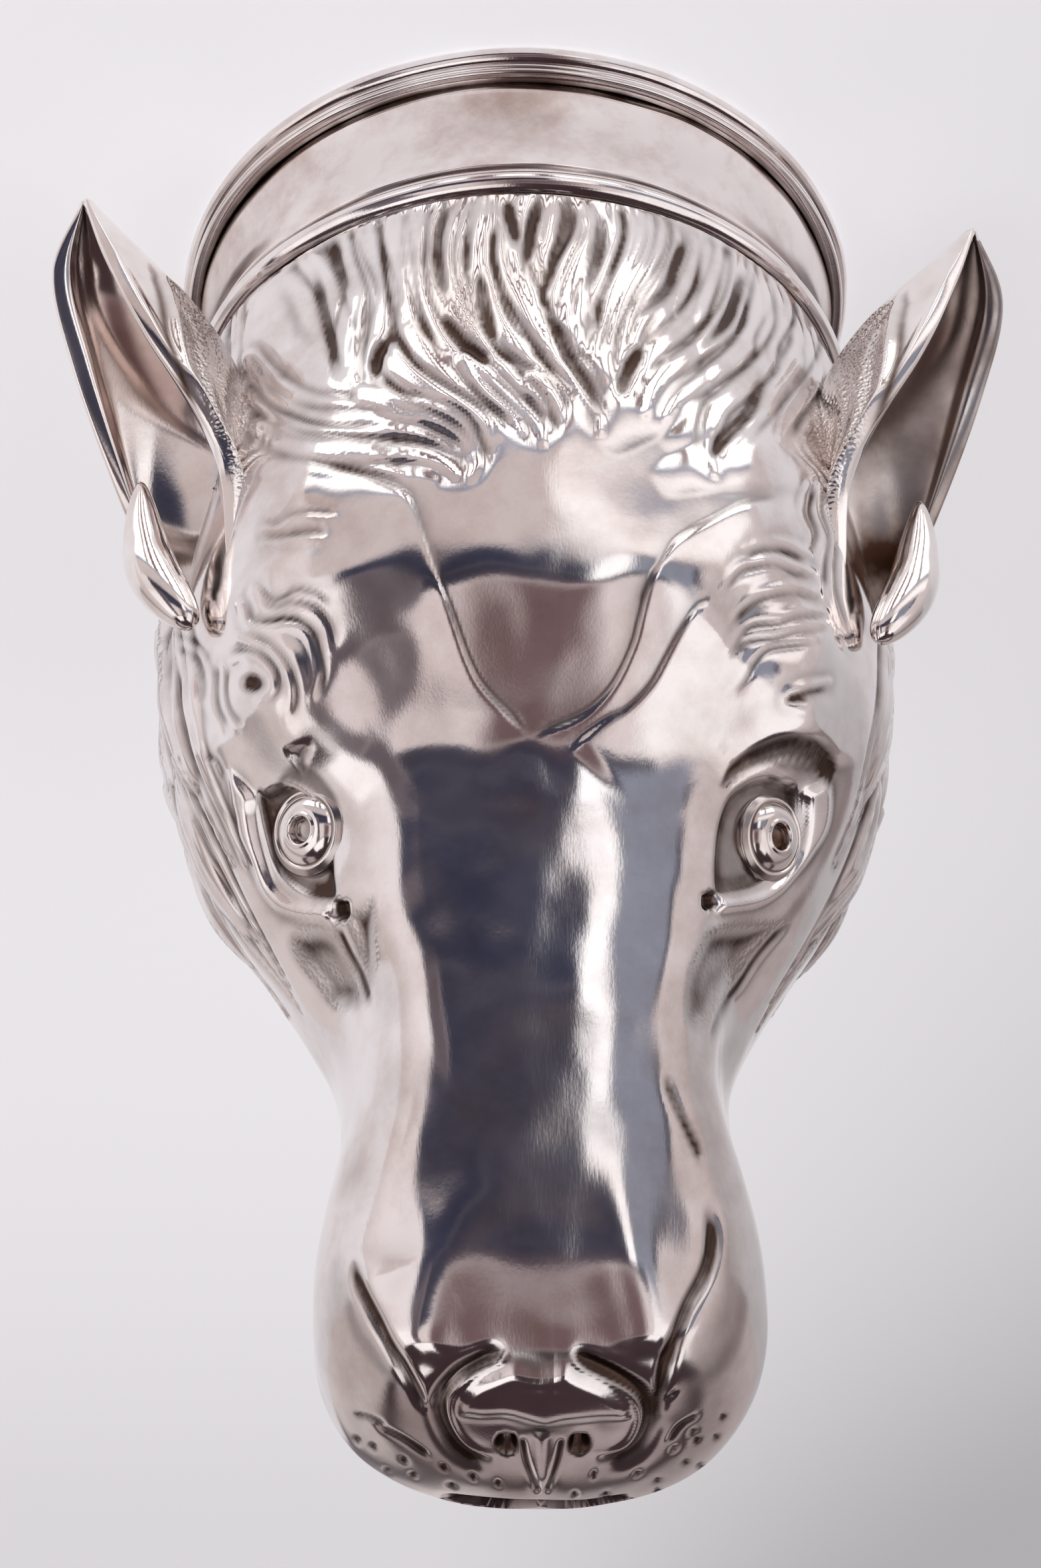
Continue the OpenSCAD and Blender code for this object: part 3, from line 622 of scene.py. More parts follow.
# Soft ridges and hollows: half width in pixels, height in millimetres, fading ends
RIDGES = [
    (NOSE_CUSHIONS, 46, 0.6, 0.75, 0.12), (EYE_PITS, 9, -1.2, 0, 0), (NOSE_LOOPS, 6, 0.35, 0.1, 0.2),
    ([PHILTRUM], 17, 0.45, 0.1, 0.35),
]
# Raised and sunken shapes: width of the rounded edge in pixels, height in millimetres
PADS = [
    (EYE_OPENINGS, 12, -0.55), (EYE_RIMS, 16, 0.55), ([BROW_LEAF], 14, -0.35), (EYE_LEAVES, 30, -0.4),
    ([NOSE_PAD], 30, 0.5), (NOSTRILS, 14, -1.3),
]
# Tarnished and stippled shapes: width of the soft edge in pixels, amount
STAINS = [
    (EYE_OPENINGS, 10, 0.55), (LASHES, 10, 0.75), (PIT_SHAPES, 5, 1.0), (EYE_LEAVES, 14, 0.3),
    (NOSTRILS, 8, 1.0), (LIPS, 40, 0.3),
]
STIPPLES = [(EYE_LEAVES, 16, 0.5)]
# Punched pits: radius in pixels, depth in millimetres
PITS = [([ROSETTE], 11, 0.6), (WHISKERS, 5, 0.25)]
# Places of the strands across each main lock of the sides
STRAND_SHARES = (-0.9, -0.5, -0.1, 0.3, 0.7)


def wobble(points, waves, shortest, longest, seed):
    """A gentle unevenness left by the hammer: many plane waves in random directions."""
    draw = np.random.default_rng(seed)
    total = np.zeros(points.shape[:-1])
    for _ in range(waves):
        direction = unit(draw.normal(size=3))
        length = draw.uniform(shortest, longest)
        total += length * np.sin(points @ direction * (2 * np.pi / length) + draw.uniform(0, 2 * np.pi))
    return total / (longest * math.sqrt(waves / 2))


def side_locks(relief):
    """Strands worked into each main lock of the cheeks, the sides of the neck and the throat."""
    relief.plane = relief.grid.wrap
    for root_d, root_angle, tip_d, tip_angle in side_tufts():
        for side in (-1, 1):
            root = laid_out(root_d, side * root_angle)
            lock = laid_out(tip_d, side * tip_angle) - root
            for share in STRAND_SHARES:
                spread = (share + random.uniform(-0.15, 0.15)) * LOCK_W / 2
                bend = random.uniform(-1.3, 1.3)
                start, reach = random.uniform(-0.25, 0.15), random.uniform(1.0, 1.5)
                shifts = (spread, spread + bend, 0.7 * spread - 0.7 * bend, 0.3 * spread)
                points = [root + lock * (start + along * (reach - start)) + (shift, 0)
                          for along, shift in zip((0, 0.35, 0.7, 1), shifts)]
                half, height = random.uniform(1.2, 2.1), random.uniform(0.35, 0.85)
                relief.lock(points, half, height, strands=2, lean=random.uniform(-0.5, 0.5), tip=0.9)


def face_work(relief):
    """The work traced on the photograph: single strands first, then each table by its own tool."""
    relief.plane = relief.grid.photo
    for points in CROWN_LOCKS:
        height, lean = random.uniform(0.38, 0.56), random.uniform(-0.3, 0.3)
        relief.lock(points, 28, height, strands=2, lean=lean, tip=0.8)
        for shift in (random.uniform(-26, -18), random.uniform(18, 26)):
            relief.groove(beside(points, shift), 4.5, random.uniform(0.08, 0.2), start=0.3, end=0.3)
    for points in TEMPLE_LOCKS:
        relief.lock(points, 12, 0.17, strands=1, lean=random.uniform(-0.4, 0.4), tip=0.6)
    tables = ((relief.groove, GROOVES), (relief.fold, FOLDS), (relief.ridge, RIDGES), (relief.pad, PADS),
              (relief.tarnish, STAINS), (relief.roughen, STIPPLES), (relief.pit, PITS))
    for tool, table in tables:
        for shapes, *sizes in table:
            for shape in shapes:
                tool(shape, *sizes)


def blur(field, steps):
    """A field on the grid averaged over that many neighbours each way, along it and then across."""
    kernel = np.hanning(2 * steps + 3)[1:-1]
    kernel /= kernel.sum()
    for axis in (0, 1):
        width = [(steps, steps) if k == axis else (0, 0) for k in (0, 1)]
        padded = np.pad(field, width, mode="edge")
        field = sum(weight * np.take(padded, np.arange(k, k + field.shape[axis]), axis=axis)
                    for k, weight in enumerate(kernel))
    return field


# The bridge swells a little where it leaves the forehead, so that it runs straight to the nose: height,
# then start and length of the rise and of the fall along the head, then angle and width of its sides
BRIDGE_RISE = 0.6
BRIDGE_START, BRIDGE_IN, BRIDGE_FALL, BRIDGE_OUT = 54, 8, 64, 30
BRIDGE_ANGLE, BRIDGE_SIDE = 24, 20
# The strands lie in a bed sunk into the skin, and the chased work fades out under the bead
BED_DEPTH, BED_START, BED_BLUR = 0.45, 0.05, 6
WORK_FADE, WORK_AT_COLLAR = 1.5, 0.35
LOWEST, HIGHEST = -1.9, 3.0
# Hollows this far below their blurred surroundings are full of tarnish
RECESS_BLUR, RECESS_DEPTH = 7, 0.2
# Unevenness: height, number of waves, shortest, longest, seed, middle and spread along the head
HAMMERED = [
    (0.075, 28, 5.0, 16.0, 3, 0, math.inf), (0.006, 40, 2.0, 5.0, 4, 0, math.inf),
    (0.14, 20, 9.0, 22.0, 9, FOREHEAD_D, 8), (0.08, 24, 4.0, 10.0, 12, FOREHEAD_D + 1, 4),
]


def bridge_rise(d, angle):
    along = smooth((d - BRIDGE_START) / BRIDGE_IN) * (1 - smooth((d - BRIDGE_FALL) / BRIDGE_OUT))
    return BRIDGE_RISE * along * (1 - smooth((np.abs(angle) - BRIDGE_ANGLE) / BRIDGE_SIDE))


def chased_head():
    grid = HeadGrid()
    relief = Relief(grid)
    side_locks(relief)
    face_work(relief)
    shape = grid.d.shape
    strands = relief.fur.reshape(shape)
    bed = BED_DEPTH * blur((strands > BED_START).astype(float), BED_BLUR)
    height = (relief.form - relief.cuts).reshape(shape) + strands - bed
    height = height * smooth(grid.d / WORK_FADE + WORK_AT_COLLAR)
    height += fur_coat(grid.d, grid.a) + bridge_rise(grid.d, grid.a)
    for rise, waves, shortest, longest, seed, middle, spread in HAMMERED:
        share = rise * np.exp(-((grid.d - middle) / spread) ** 2)
        height += share * wobble(grid.points, waves, shortest, longest, seed)
    grid.height = np.clip(height, LOWEST, HIGHEST)
    grid.soft = blur(grid.height, RECESS_BLUR)
    recess = np.clip((grid.soft - grid.height) / RECESS_DEPTH, 0, 1)
    grid.recess = np.clip(blur(recess, 1) + relief.stain.reshape(shape), 0, 1)
    grid.stipple = relief.stipple.reshape(shape)
    return grid


# Meshes
# Share of the relief that the inside follows, tarnish inside, tarnish for each bend of a turned outline
INNER_SHARE, INSIDE_STAIN, HOLLOW_STAIN = 0.8, 0.5, 8


def add_piece(node, points, faces, material, attributes, borders=None):
    name = node + "_silver"
    mesh = bpy.data.meshes.new(name)
    mesh.from_pydata((np.asarray(points) * MM).tolist(), [], faces)
    mesh.update()
    mesh.polygons.foreach_set("use_smooth", np.ones(len(mesh.polygons), bool))
    for key, values in attributes.items():
        layer = mesh.attributes.new(key, "FLOAT", "POINT")
        layer.data.foreach_set("value", np.asarray(values, np.float32))
    if borders is not None:
        ends = np.empty(2 * len(mesh.edges), np.int32)
        mesh.edges.foreach_get("vertices", ends)
        layer = mesh.attributes.new("sharp_edge", "BOOLEAN", "EDGE")
        layer.data.foreach_set("value", borders[ends].reshape(-1, 2).all(1))
    mesh.materials.append(material)
    piece = bpy.data.objects.new(name, mesh)
    bpy.context.scene.collection.objects.link(piece)
    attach(piece, "root")
    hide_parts(node)


def sheet_faces(first, rows, columns):
    """Quads of a grid of points, numbered row by row."""
    faces = []
    for low in range(first, first + (rows - 1) * columns, columns):
        high = low + columns
        faces += [(low + j, low + j + 1, high + j + 1, high + j) for j in range(columns - 1)]
    return faces


def ring_faces(rings, count, closed_rows=False):
    """Quads between rings of points, each ring closed on itself."""
    faces = []
    for i in range(rings if closed_rows else rings - 1):
        low, high = i * count, (i + 1) % rings * count
        faces += [(low + j, low + (j + 1) % count, high + (j + 1) % count, high + j) for j in range(count)]
    return faces


def fan_faces(hub, first, count, over=False):
    """Triangles between a hub and a ring of points, turned over where asked."""
    pairs = [(first + j, first + (j + 1) % count) for j in range(count)]
    return [(hub, b, a) if over else (hub, a, b) for a, b in pairs]


def turned_over(quads):
    return [(a, d, c, b) for a, b, c, d in quads]


def circle(count):
    """Cosines and sines of even steps round a circle."""
    turn = np.arange(count) * (2 * np.pi / count)
    return np.cos(turn)[:, None], np.sin(turn)[:, None]


def head_half(grid, node, first, material):
    """One half of the head: chased skin, softer inside skin, flat faces at the seam and the collar."""
    rows, columns = len(grid.rows), HALF_COLUMNS + 1
    own = slice(first, first + columns)
    normals = grid.normals[:, own]
    outer = grid.points[:, own] + grid.height[:, own, None] * normals
    outer[:, (0, -1), 0] = 0
    inner = grid.points[:, own] + (INNER_SHARE * grid.soft[:, own, None] - HEAD_WALL) * normals
    inner = inner[::INNER_ROW_STEP, ::INNER_COLUMN_STEP]
    inner[:, (0, -1), 0] = 0
    in_rows, in_columns = inner.shape[:2]
    tip_out = rows * columns
    tip_in = tip_out + 1 + in_rows * in_columns
    points = np.vstack((outer.reshape(-1, 3), grid.tip, inner.reshape(-1, 3), grid.tip - (0, 0, HEAD_WALL)))
    out_at = np.arange(tip_out).reshape(rows, columns).tolist()
    in_at = np.arange(tip_out + 1, tip_in).reshape(in_rows, in_columns).tolist()
    faces = sheet_faces(0, rows, columns)
    faces += [(a, b, tip_out) for a, b in zip(out_at[-1], out_at[-1][1:])]
    faces += turned_over(sheet_faces(tip_out + 1, in_rows, in_columns))
    faces += [(a, tip_in, b) for a, b in zip(in_at[-1], in_at[-1][1:])]
    for i in range(in_rows - 1):
        span = out_at[i * INNER_ROW_STEP:(i + 1) * INNER_ROW_STEP + 1]
        faces.append([row[0] for row in span] + [in_at[i + 1][0], in_at[i][0]])
        faces.append([in_at[i][-1], in_at[i + 1][-1]] + [row[-1] for row in reversed(span)])
    faces.append([out_at[-1][0], tip_out, tip_in, in_at[-1][0]])
    faces.append([in_at[-1][-1], tip_in, tip_out, out_at[-1][-1]])
    for j in range(in_columns - 1):
        span = out_at[0][j * INNER_COLUMN_STEP:(j + 1) * INNER_COLUMN_STEP + 1]
        faces.append([in_at[0][j], in_at[0][j + 1]] + span[::-1])
    border = np.zeros((rows, columns), bool)
    border[:, (0, -1)] = True
    border[0] = True
    in_border = border[::INNER_ROW_STEP, ::INNER_COLUMN_STEP]
    borders = np.concatenate((border.ravel(), [True], in_border.ravel(), [True]))
    inside = np.full(in_rows * in_columns + 1, INSIDE_STAIN)
    attributes = {
        "recess": np.concatenate((grid.recess[:, own].ravel(), [0], inside)),
        "stipple": np.concatenate((grid.stipple[:, own].ravel(), [0], inside * 0)),
    }
    add_piece(node, points, faces, material, attributes, borders)


def arc(middle, radius, start, end, count):
    turn = np.radians(np.linspace(start, end, count))
    return [(middle[0] + radius * math.cos(a), middle[1] + radius * math.sin(a)) for a in turn]


def turned_ring(node, profile, material, uneven, seed, segments=384):
    """A ring turned from a closed outline of (radius, height), slightly out of true by hand."""
    profile = np.array(profile)
    radial = np.hstack(circle(segments))
    points = np.empty((len(profile), segments, 3))
    points[..., :2] = profile[:, None, :1] * radial
    points[..., 2] = profile[:, 1:]
    push = uneven * wobble(points, waves=28, shortest=7, longest=24, seed=seed)
    points[..., :2] += push[..., None] * radial
    bend = np.roll(profile, 1, 0) + np.roll(profile, -1, 0) - 2 * profile
    recess = np.repeat(np.clip(bend[:, 0] * HOLLOW_STAIN, 0, 1), segments)
    attributes = {"recess": recess, "stipple": recess * 0}
    faces = ring_faces(len(profile), segments, closed_rows=True)
    add_piece(node, points.reshape(-1, 3), faces, material, attributes)


def collar_outline():
    """Side of the collar: straight under the moulding, drawn in, with a scribed line above a plain land."""
    collar_r, neck_r, hollow, wall = 36.8, 36.2, 0.8, 1.4
    band_start, band_end = 4.2, COLLAR_H - 4.4
    outer = [(collar_r, z) for z in np.linspace(0, band_start - 0.2, 6)]
    for q in np.linspace(0, 1, 25):
        z = band_start + (band_end - band_start) * q
        outer.append((collar_r + (neck_r - collar_r) * q - hollow * math.sin(math.pi * q), z))
    land_r = neck_r - 0.25
    outer += [(neck_r - 0.02, band_end + 0.12), (land_r - 0.12, band_end + 0.3), (land_r, band_end + 0.5)]
    outer += [(land_r, z) for z in np.linspace(band_end + 0.8, COLLAR_H, 8)]
    inner = [(r - wall, z) for r, z in reversed(outer)]
    return outer + inner


def lip_outline():
    """The moulding: a broad roll at the rim and two thin reeds."""
    seat, out, roll, height, reed = 36.86, 39.0, 1.0, 3.4, 0.35
    strip = out - roll
    outline = [(seat, 0.15), (seat + 0.15, 0), (seat + 0.6, 0)]
    outline += arc((strip, roll), roll, -90, 78, 22)
    for k in (1, 2):
        outline += arc((strip - 0.05, 2 * roll + (2 * k - 1) * reed), reed, -70, 85, 9)
    outline += [(strip - 0.4, height), (seat + 0.15, height), (seat, height - 0.15), (seat, height / 2)]
    return outline


def bead_outline():
    seat, width = 36.01, 2.5
    middle = COLLAR_H - 0.3 - width / 2
    return arc((seat, middle), width / 2, -89, 89, 24) + [(seat, middle + 0.6), (seat, middle - 0.6)]


# Eyes: radius, depth of the seat, and the outline from the pupil to the foot as radius and height
EYE_R = 4.1
EYE_DROP = -0.3
EYE_SEGMENTS = 96
EYE_PROFILE = [
    (0.0, -0.7), (0.5, -0.68), (0.92, -0.6), (1.1, -0.42), (1.16, -0.1), (1.2, 0.24), (1.28, 0.4),
    (1.4, 0.46), (1.52, 0.42), (1.62, 0.33), (1.7, 0.29), (1.84, 0.29), (2.04, 0.25), (2.24, 0.18),
    (2.44, 0.08), (2.64, -0.05), (2.82, -0.2), (2.96, -0.34), (3.06, -0.47), (3.14, -0.52), (3.22, -0.45),
    (3.32, -0.38), (3.44, -0.38), (3.58, -0.46), (3.74, -0.57), (3.95, -0.68), (EYE_R, -0.8), (EYE_R, -1.4),
    (EYE_R, -2.0),
]
PUPIL_R, GROOVE_START, GROOVE_END, RIM_START = 1.12, 3.0, 3.2, 3.5


def eye_stain(r):
    """Tarnish at a distance from the eye's axis: deep in the pupil and the groove, less on the rim."""
    if r < PUPIL_R or GROOVE_START < r < GROOVE_END:
        return 0.95
    return 0.6 if r > RIM_START else 0.1


def eye(node, side, material):
    """A turned boss: drilled pupil in its ring, domed iris, groove and low rim."""
    def place(d, a):
        return skin(d, a) * (side, 1, 1)
    seat = place(EYE_D, EYE_ANGLE)
    across = place(EYE_D, EYE_ANGLE + 1) - place(EYE_D, EYE_ANGLE - 1)
    along = place(EYE_D + 1, EYE_ANGLE) - place(EYE_D - 1, EYE_ANGLE)
    axis = unit(np.cross(across, along)) * side
    u = unit(along - axis * (along @ axis))
    v = np.cross(axis, u)
    cosine, sine = circle(EYE_SEGMENTS)
    profile = np.array(EYE_PROFILE) + (0, EYE_DROP)
    rings = profile[1:]
    points = seat + rings[:, None, :1] * (cosine * u + sine * v) + rings[:, None, 1:] * axis
    points = np.vstack((points.reshape(-1, 3), seat + profile[[0, -1], 1:] * axis))
    hub, base = len(points) - 2, len(points) - 1
    faces = turned_over(ring_faces(len(rings), EYE_SEGMENTS))
    faces += fan_faces(hub, 0, EYE_SEGMENTS)
    faces += fan_faces(base, hub - EYE_SEGMENTS, EYE_SEGMENTS, over=True)
    recess = np.repeat([eye_stain(r) for r in rings[:, 0]], EYE_SEGMENTS)
    attributes = {"recess": np.concatenate((recess, [1, 0])), "stipple": np.zeros(len(points))}
    add_piece(node, points, faces, material, attributes)


# Ears: free outer edge, root on the head and rolled fold edge, as share of length, angle, share of stand
EAR_BASE_D, EAR_LEN, EAR_STAND, EAR_SHEET, EAR_CUP, EAR_ROLL = 34.5, 38.3, 18.8, 1.3, 2.8, 2.6
EAR_ROWS, EAR_COLUMNS = 170, 141
EAR_OUTER = [(0, 72, 0.02), (0.29, 66, 0.44), (0.59, 63, 0.79), (0.82, 60.5, 1), (1, 56.5, 0.97)]
EAR_ROOT = [(0, 64, -0.08), (0.27, 59.5, -0.05), (0.59, 55.5, -0.03), (0.86, 58, 0.33), (1, 56.2, 0.92)]
EAR_FOLD = [(0, 52, -0.05), (0.27, 50.5, 0.12), (0.59, 53.5, 0.58), (0.82, 55.3, 0.82), (0.99, 55.9, 0.965)]
EAR_SAG = EAR_CUP * np.array((0.35, 0.9, 1, 0.7, 0.04))
EAR_BULGE = EAR_ROLL * np.array((0.2, 0.8, 1, 0.6, 0.04))
EAR_BACK = np.array((0.1, 0.85, -0.5))
EAR_SIDE = np.array((-0.75, -0.6, 0.1))
# The lobe at the foot of the outer edge: distance from the ear's base, angle, stand, radius
EAR_LOBE = np.array([(9.5, 62, 6.5, 0.9), (4.5, 63, 5.2, 2), (-0.5, 62.5, 3.8, 2.5), (-5, 60, 1.9, 1.9)])
EAR_LOBE_BLUNT, EAR_LOBE_END = 5, 0.02
# Rounded edge of the sheet as a share of its breadth, with its roll in millimetres; thickness left at the
# tip, and over which share of the length it falls; how far the foot may reach under the head's skin
EAR_EDGE, EAR_EDGE_ROLL, EAR_TIP_SHARE, EAR_TIP_FADE, EAR_SUNK = 0.045, 0.3, 0.45, 0.25, 0.7
# The fur leaf on the fold: places along the ear and across it where the leaf's edge runs, and its heights
LEAF_S, LEAF_T = (0.3, 0.55, 0.7, 0.8), (1.02, 0.87, 0.78, 0.66)
LEAF_END, LEAF_HEIGHT, LEAF_RIM, LEAF_STRANDS = 0.8, 0.35, 0.3, 0.08
# Painted dark reflection on the floor of each ear, by its side, deep in the fox's left ear only; and tarnish
# at its foot
EAR_PAINTED_DARK_REFLECTION, EAR_FOOT_STAIN = {-1: 0.6, 1: 0.02}, 0.6


def through(values, s):
    """A smooth curve through values at even steps, at places s from 0 to 1."""
    v = np.asarray(values, float).reshape(len(values), -1)
    v = np.vstack((2 * v[0] - v[1], v, 2 * v[-1] - v[-2]))
    u = np.clip(s, 0, 1) * (len(v) - 3)
    i = np.minimum(u.astype(int), len(v) - 4)
    t = (u - i)[:, None]
    return curve_between(v[i], v[i + 1], v[i + 2], v[i + 3], t)


def ear_sheet():
    """Middle of the ear's sheet: rows from the base to the tip, columns from the outer to the fold edge."""
    s = np.linspace(0, 1, EAR_ROWS)
    t = (1 - np.cos(np.linspace(0, np.pi, EAR_COLUMNS))) / 2
    edges = []
    for edge in (EAR_OUTER, EAR_ROOT, EAR_FOLD):
        share, angle, stand = np.array(edge).T
        edges.append(through(skin(EAR_BASE_D - EAR_LEN * share, angle, EAR_STAND * stand), s)[:, None])
    outer, root, fold = edges
    floor_mid = (outer + root) / 2 + through(EAR_SAG, s)[:, None] * EAR_BACK
    wall_mid = (root + fold) / 2 + through(EAR_BULGE, s)[:, None] * EAR_SIDE
    p = np.clip(2 * t, 0, 1)[None, :, None]
    q = np.clip(2 * t - 1, 0, 1)[None, :, None]
    near = (1 - p) ** 2 * outer + 2 * p * (1 - p) * floor_mid + p ** 2 * root
    far = (1 - q) ** 2 * root + 2 * q * (1 - q) * wall_mid + q ** 2 * fold
    return np.where(t[None, :, None] < 0.5, near, far), s, t


def ear_lobe(rings=40, count=36):
    """A comma-shaped roll through the lobe's places, closed at both ends."""
    u = np.linspace(0, 1, rings)
    places = skin(EAR_BASE_D - EAR_LOBE[:, 0], EAR_LOBE[:, 1], EAR_LOBE[:, 2])
    ends = unit(places[[0, -1]] - places[[1, -2]]) * EAR_LOBE[[0, -1], 3:]
    line = through(np.vstack((places[0] + ends[0], places[1:-1], places[-1] + ends[1])), u)
    radius = through(EAR_LOBE[:, 3], u)[:, 0] * np.sqrt(1 - np.abs(2 * u - 1) ** EAR_LOBE_BLUNT)
    forward = unit(np.gradient(line, axis=0))
    side = unit(np.cross(forward, (0, -1.0, 0)))
    up = np.cross(side, forward)
    cosine, sine = circle(count)
    ring = cosine * side[:, None] + sine * up[:, None]
    points = line[:, None] + np.maximum(radius, EAR_LOBE_END)[:, None, None] * ring
    last = (rings - 1) * count
    faces = ring_faces(rings, count)
    faces += [tuple(reversed(range(count))), tuple(range(last, last + count))]
    return points.reshape(-1, 3), faces


def ear_leaf(s, t):
    """The fur leaf on the outer face of the ear's fold: height with the rolled edge, stain, stipple."""
    past = np.interp(s, LEAF_S, LEAF_T) - t
    length = smooth((LEAF_END - s) / 0.08)
    leaf = smooth(past / 0.05 + 0.5) * length * smooth((t - 0.5) / 0.06)
    inner = leaf * smooth(past / 0.08)
    rim = np.exp(-((past - 0.03) / 0.022) ** 2) * length * (t > 0.5)
    strands = np.sin(60 * t + 9 * s + 3 * np.sin(14 * s)) * inner
    height = (LEAF_HEIGHT * leaf + LEAF_RIM * rim + LEAF_STRANDS * strands) * smooth((1 - t) / 0.06)
    gap = np.exp(-((past + 0.02) / 0.018) ** 2) * length * (t > 0.5)
    return height, np.clip(0.85 * gap + 0.3 * inner, 0, 1), inner


def ear_tarnish_and_painted_reflection(s, t, side):
    """Darkening inside the ear: a painted dark reflection over the floor of the fox's left ear, and tarnish
    at the foot, which is all the other ear has.
    """
    floor = smooth((0.5 - t) / 0.1)
    # Painted dark reflection: the floor of the fox's left ear is darkened, the right one hardly at all
    stain = EAR_PAINTED_DARK_REFLECTION[side] * floor * (s < 0.97)
    return np.clip(stain + EAR_FOOT_STAIN * floor * smooth((0.3 - s) / 0.25), 0, 1)


def lifted_out(points, deepest):
    """Points that lie deeper than that under the plain head's skin, moved out square to its axis."""
    d = points[:, 2] - COLLAR_H
    axis = np.stack((0 * d, section_at(d)[:, MIDDLE_COLUMN], points[:, 2]), 1)
    away = points - axis
    surface = skin(d, np.degrees(np.arctan2(away[:, 0], -away[:, 1])))
    depth = np.linalg.norm(surface - axis, axis=1) - np.linalg.norm(away, axis=1)
    return points + np.maximum(depth - deepest, 0)[:, None] * unit(away)


def ear(node, side, material):
    middle, s, t = ear_sheet()
    normal = unit(np.cross(np.gradient(middle, axis=1), np.gradient(middle, axis=0)))
    margin = np.minimum(t, 1 - t)
    thick = EAR_SHEET / 2 * np.sqrt(1 - (1 - np.clip(margin / EAR_EDGE, 0, 1)) ** 2)
    roll = EAR_EDGE_ROLL * np.exp(-((margin - EAR_EDGE) / (0.6 * EAR_EDGE)) ** 2)
    along = EAR_TIP_SHARE + (1 - EAR_TIP_SHARE) * smooth((1 - s) / EAR_TIP_FADE)
    thick = (thick + roll * (margin > 0))[None, :, None] * along[:, None, None]
    s, t = np.meshgrid(s, t, indexing="ij")
    height, leaf_stain, leaf_stipple = ear_leaf(s, t)
    front = middle + thick * normal
    back = middle - (thick + height[..., None]) * normal
    behind = (slice(None), slice(-2, 0, -1))
    loop = np.concatenate((front, back[behind]), 1)
    count = loop.shape[1]
    caps = np.stack((loop[0].mean(0), loop[-1].mean(0)))
    lobe_points, lobe_faces = ear_lobe()
    points = np.vstack((loop.reshape(-1, 3), caps, lobe_points))
    points = lifted_out(points, EAR_SUNK) * (side, 1, 1)
    foot, tip = EAR_ROWS * count, EAR_ROWS * count + 1
    faces = ring_faces(EAR_ROWS, count)
    faces += fan_faces(foot, 0, count, over=True)
    faces += fan_faces(tip, foot - count, count)
    faces += [tuple(tip + 1 + j for j in face) for face in lobe_faces]
    if side < 0:
        faces = [face[::-1] for face in faces]
    rest = np.zeros(2 + len(lobe_points))
    # The recess attribute carries tarnish, and on the floor of the fox's left ear a painted dark reflection
    recess = np.hstack((ear_tarnish_and_painted_reflection(s, t, side), leaf_stain[behind]))
    stipple = np.hstack((0 * leaf_stain, leaf_stipple[behind]))
    attributes = {
        "recess": np.concatenate((recess.ravel(), rest)),
        "stipple": np.concatenate((stipple.ravel(), rest)),
    }
    add_piece(node, points, faces, material, attributes)


# Materials
def new_material(name):
    material = bpy.data.materials.new(name)
    material.use_nodes = True
    tree = material.node_tree
    return material, tree, tree.nodes["Principled BSDF"]


def add_node(tree, kind, inputs=None, **settings):
    node = tree.nodes.new(kind)
    for key, value in settings.items():
        setattr(node, key, value)
    for key, value in (inputs or {}).items():
        if isinstance(value, bpy.types.NodeSocket):
            tree.links.new(value, node.inputs[key])
        else:
            node.inputs[key].default_value = value
    return node


def calc(tree, operation, *values, clamp=False):
    """Result of one sum on sockets or numbers."""
    inputs = dict(enumerate(values))
    return add_node(tree, "ShaderNodeMath", inputs, operation=operation, use_clamp=clamp).outputs[0]


def noise(tree, place, scale, detail, **more):
    inputs = {"Vector": place, "Scale": scale, "Detail": detail, **more}
    return add_node(tree, "ShaderNodeTexNoise", inputs).outputs["Fac"]


def remap(tree, value, low, high, first=0, last=1, course="LINEAR"):
    inputs = {"Value": value, "From Min": low, "From Max": high, "To Min": first, "To Max": last}
    return add_node(tree, "ShaderNodeMapRange", inputs, interpolation_type=course).outputs["Result"]


def mixed(tree, share, first, second):
    inputs = {"Factor": share, 6: first, 7: second}
    return add_node(tree, "ShaderNodeMix", inputs, data_type="RGBA").outputs[2]


def bump(tree, height, strength, distance, **below):
    inputs = {"Height": height, "Strength": strength, "Distance": distance, **below}
    return add_node(tree, "ShaderNodeBump", inputs).outputs["Normal"]


# Brownish veil of a handled surface, how patchy the tarnish is, how much it dulls the polish
WORN_COLOUR = (0.50, 0.38, 0.33, 1)
PATCHINESS, DULLING = 1.9, 0.22
# Hair scratches run along the cup: their fineness round it and along it, and a slight turn
SCRATCH_SCALE, SCRATCH_TURN = (5200, 5200, 260), (0.2, 0.1, 0.15)
FINE_DEPTH, PUNCH_DEPTH = 0.00001, 0.0001


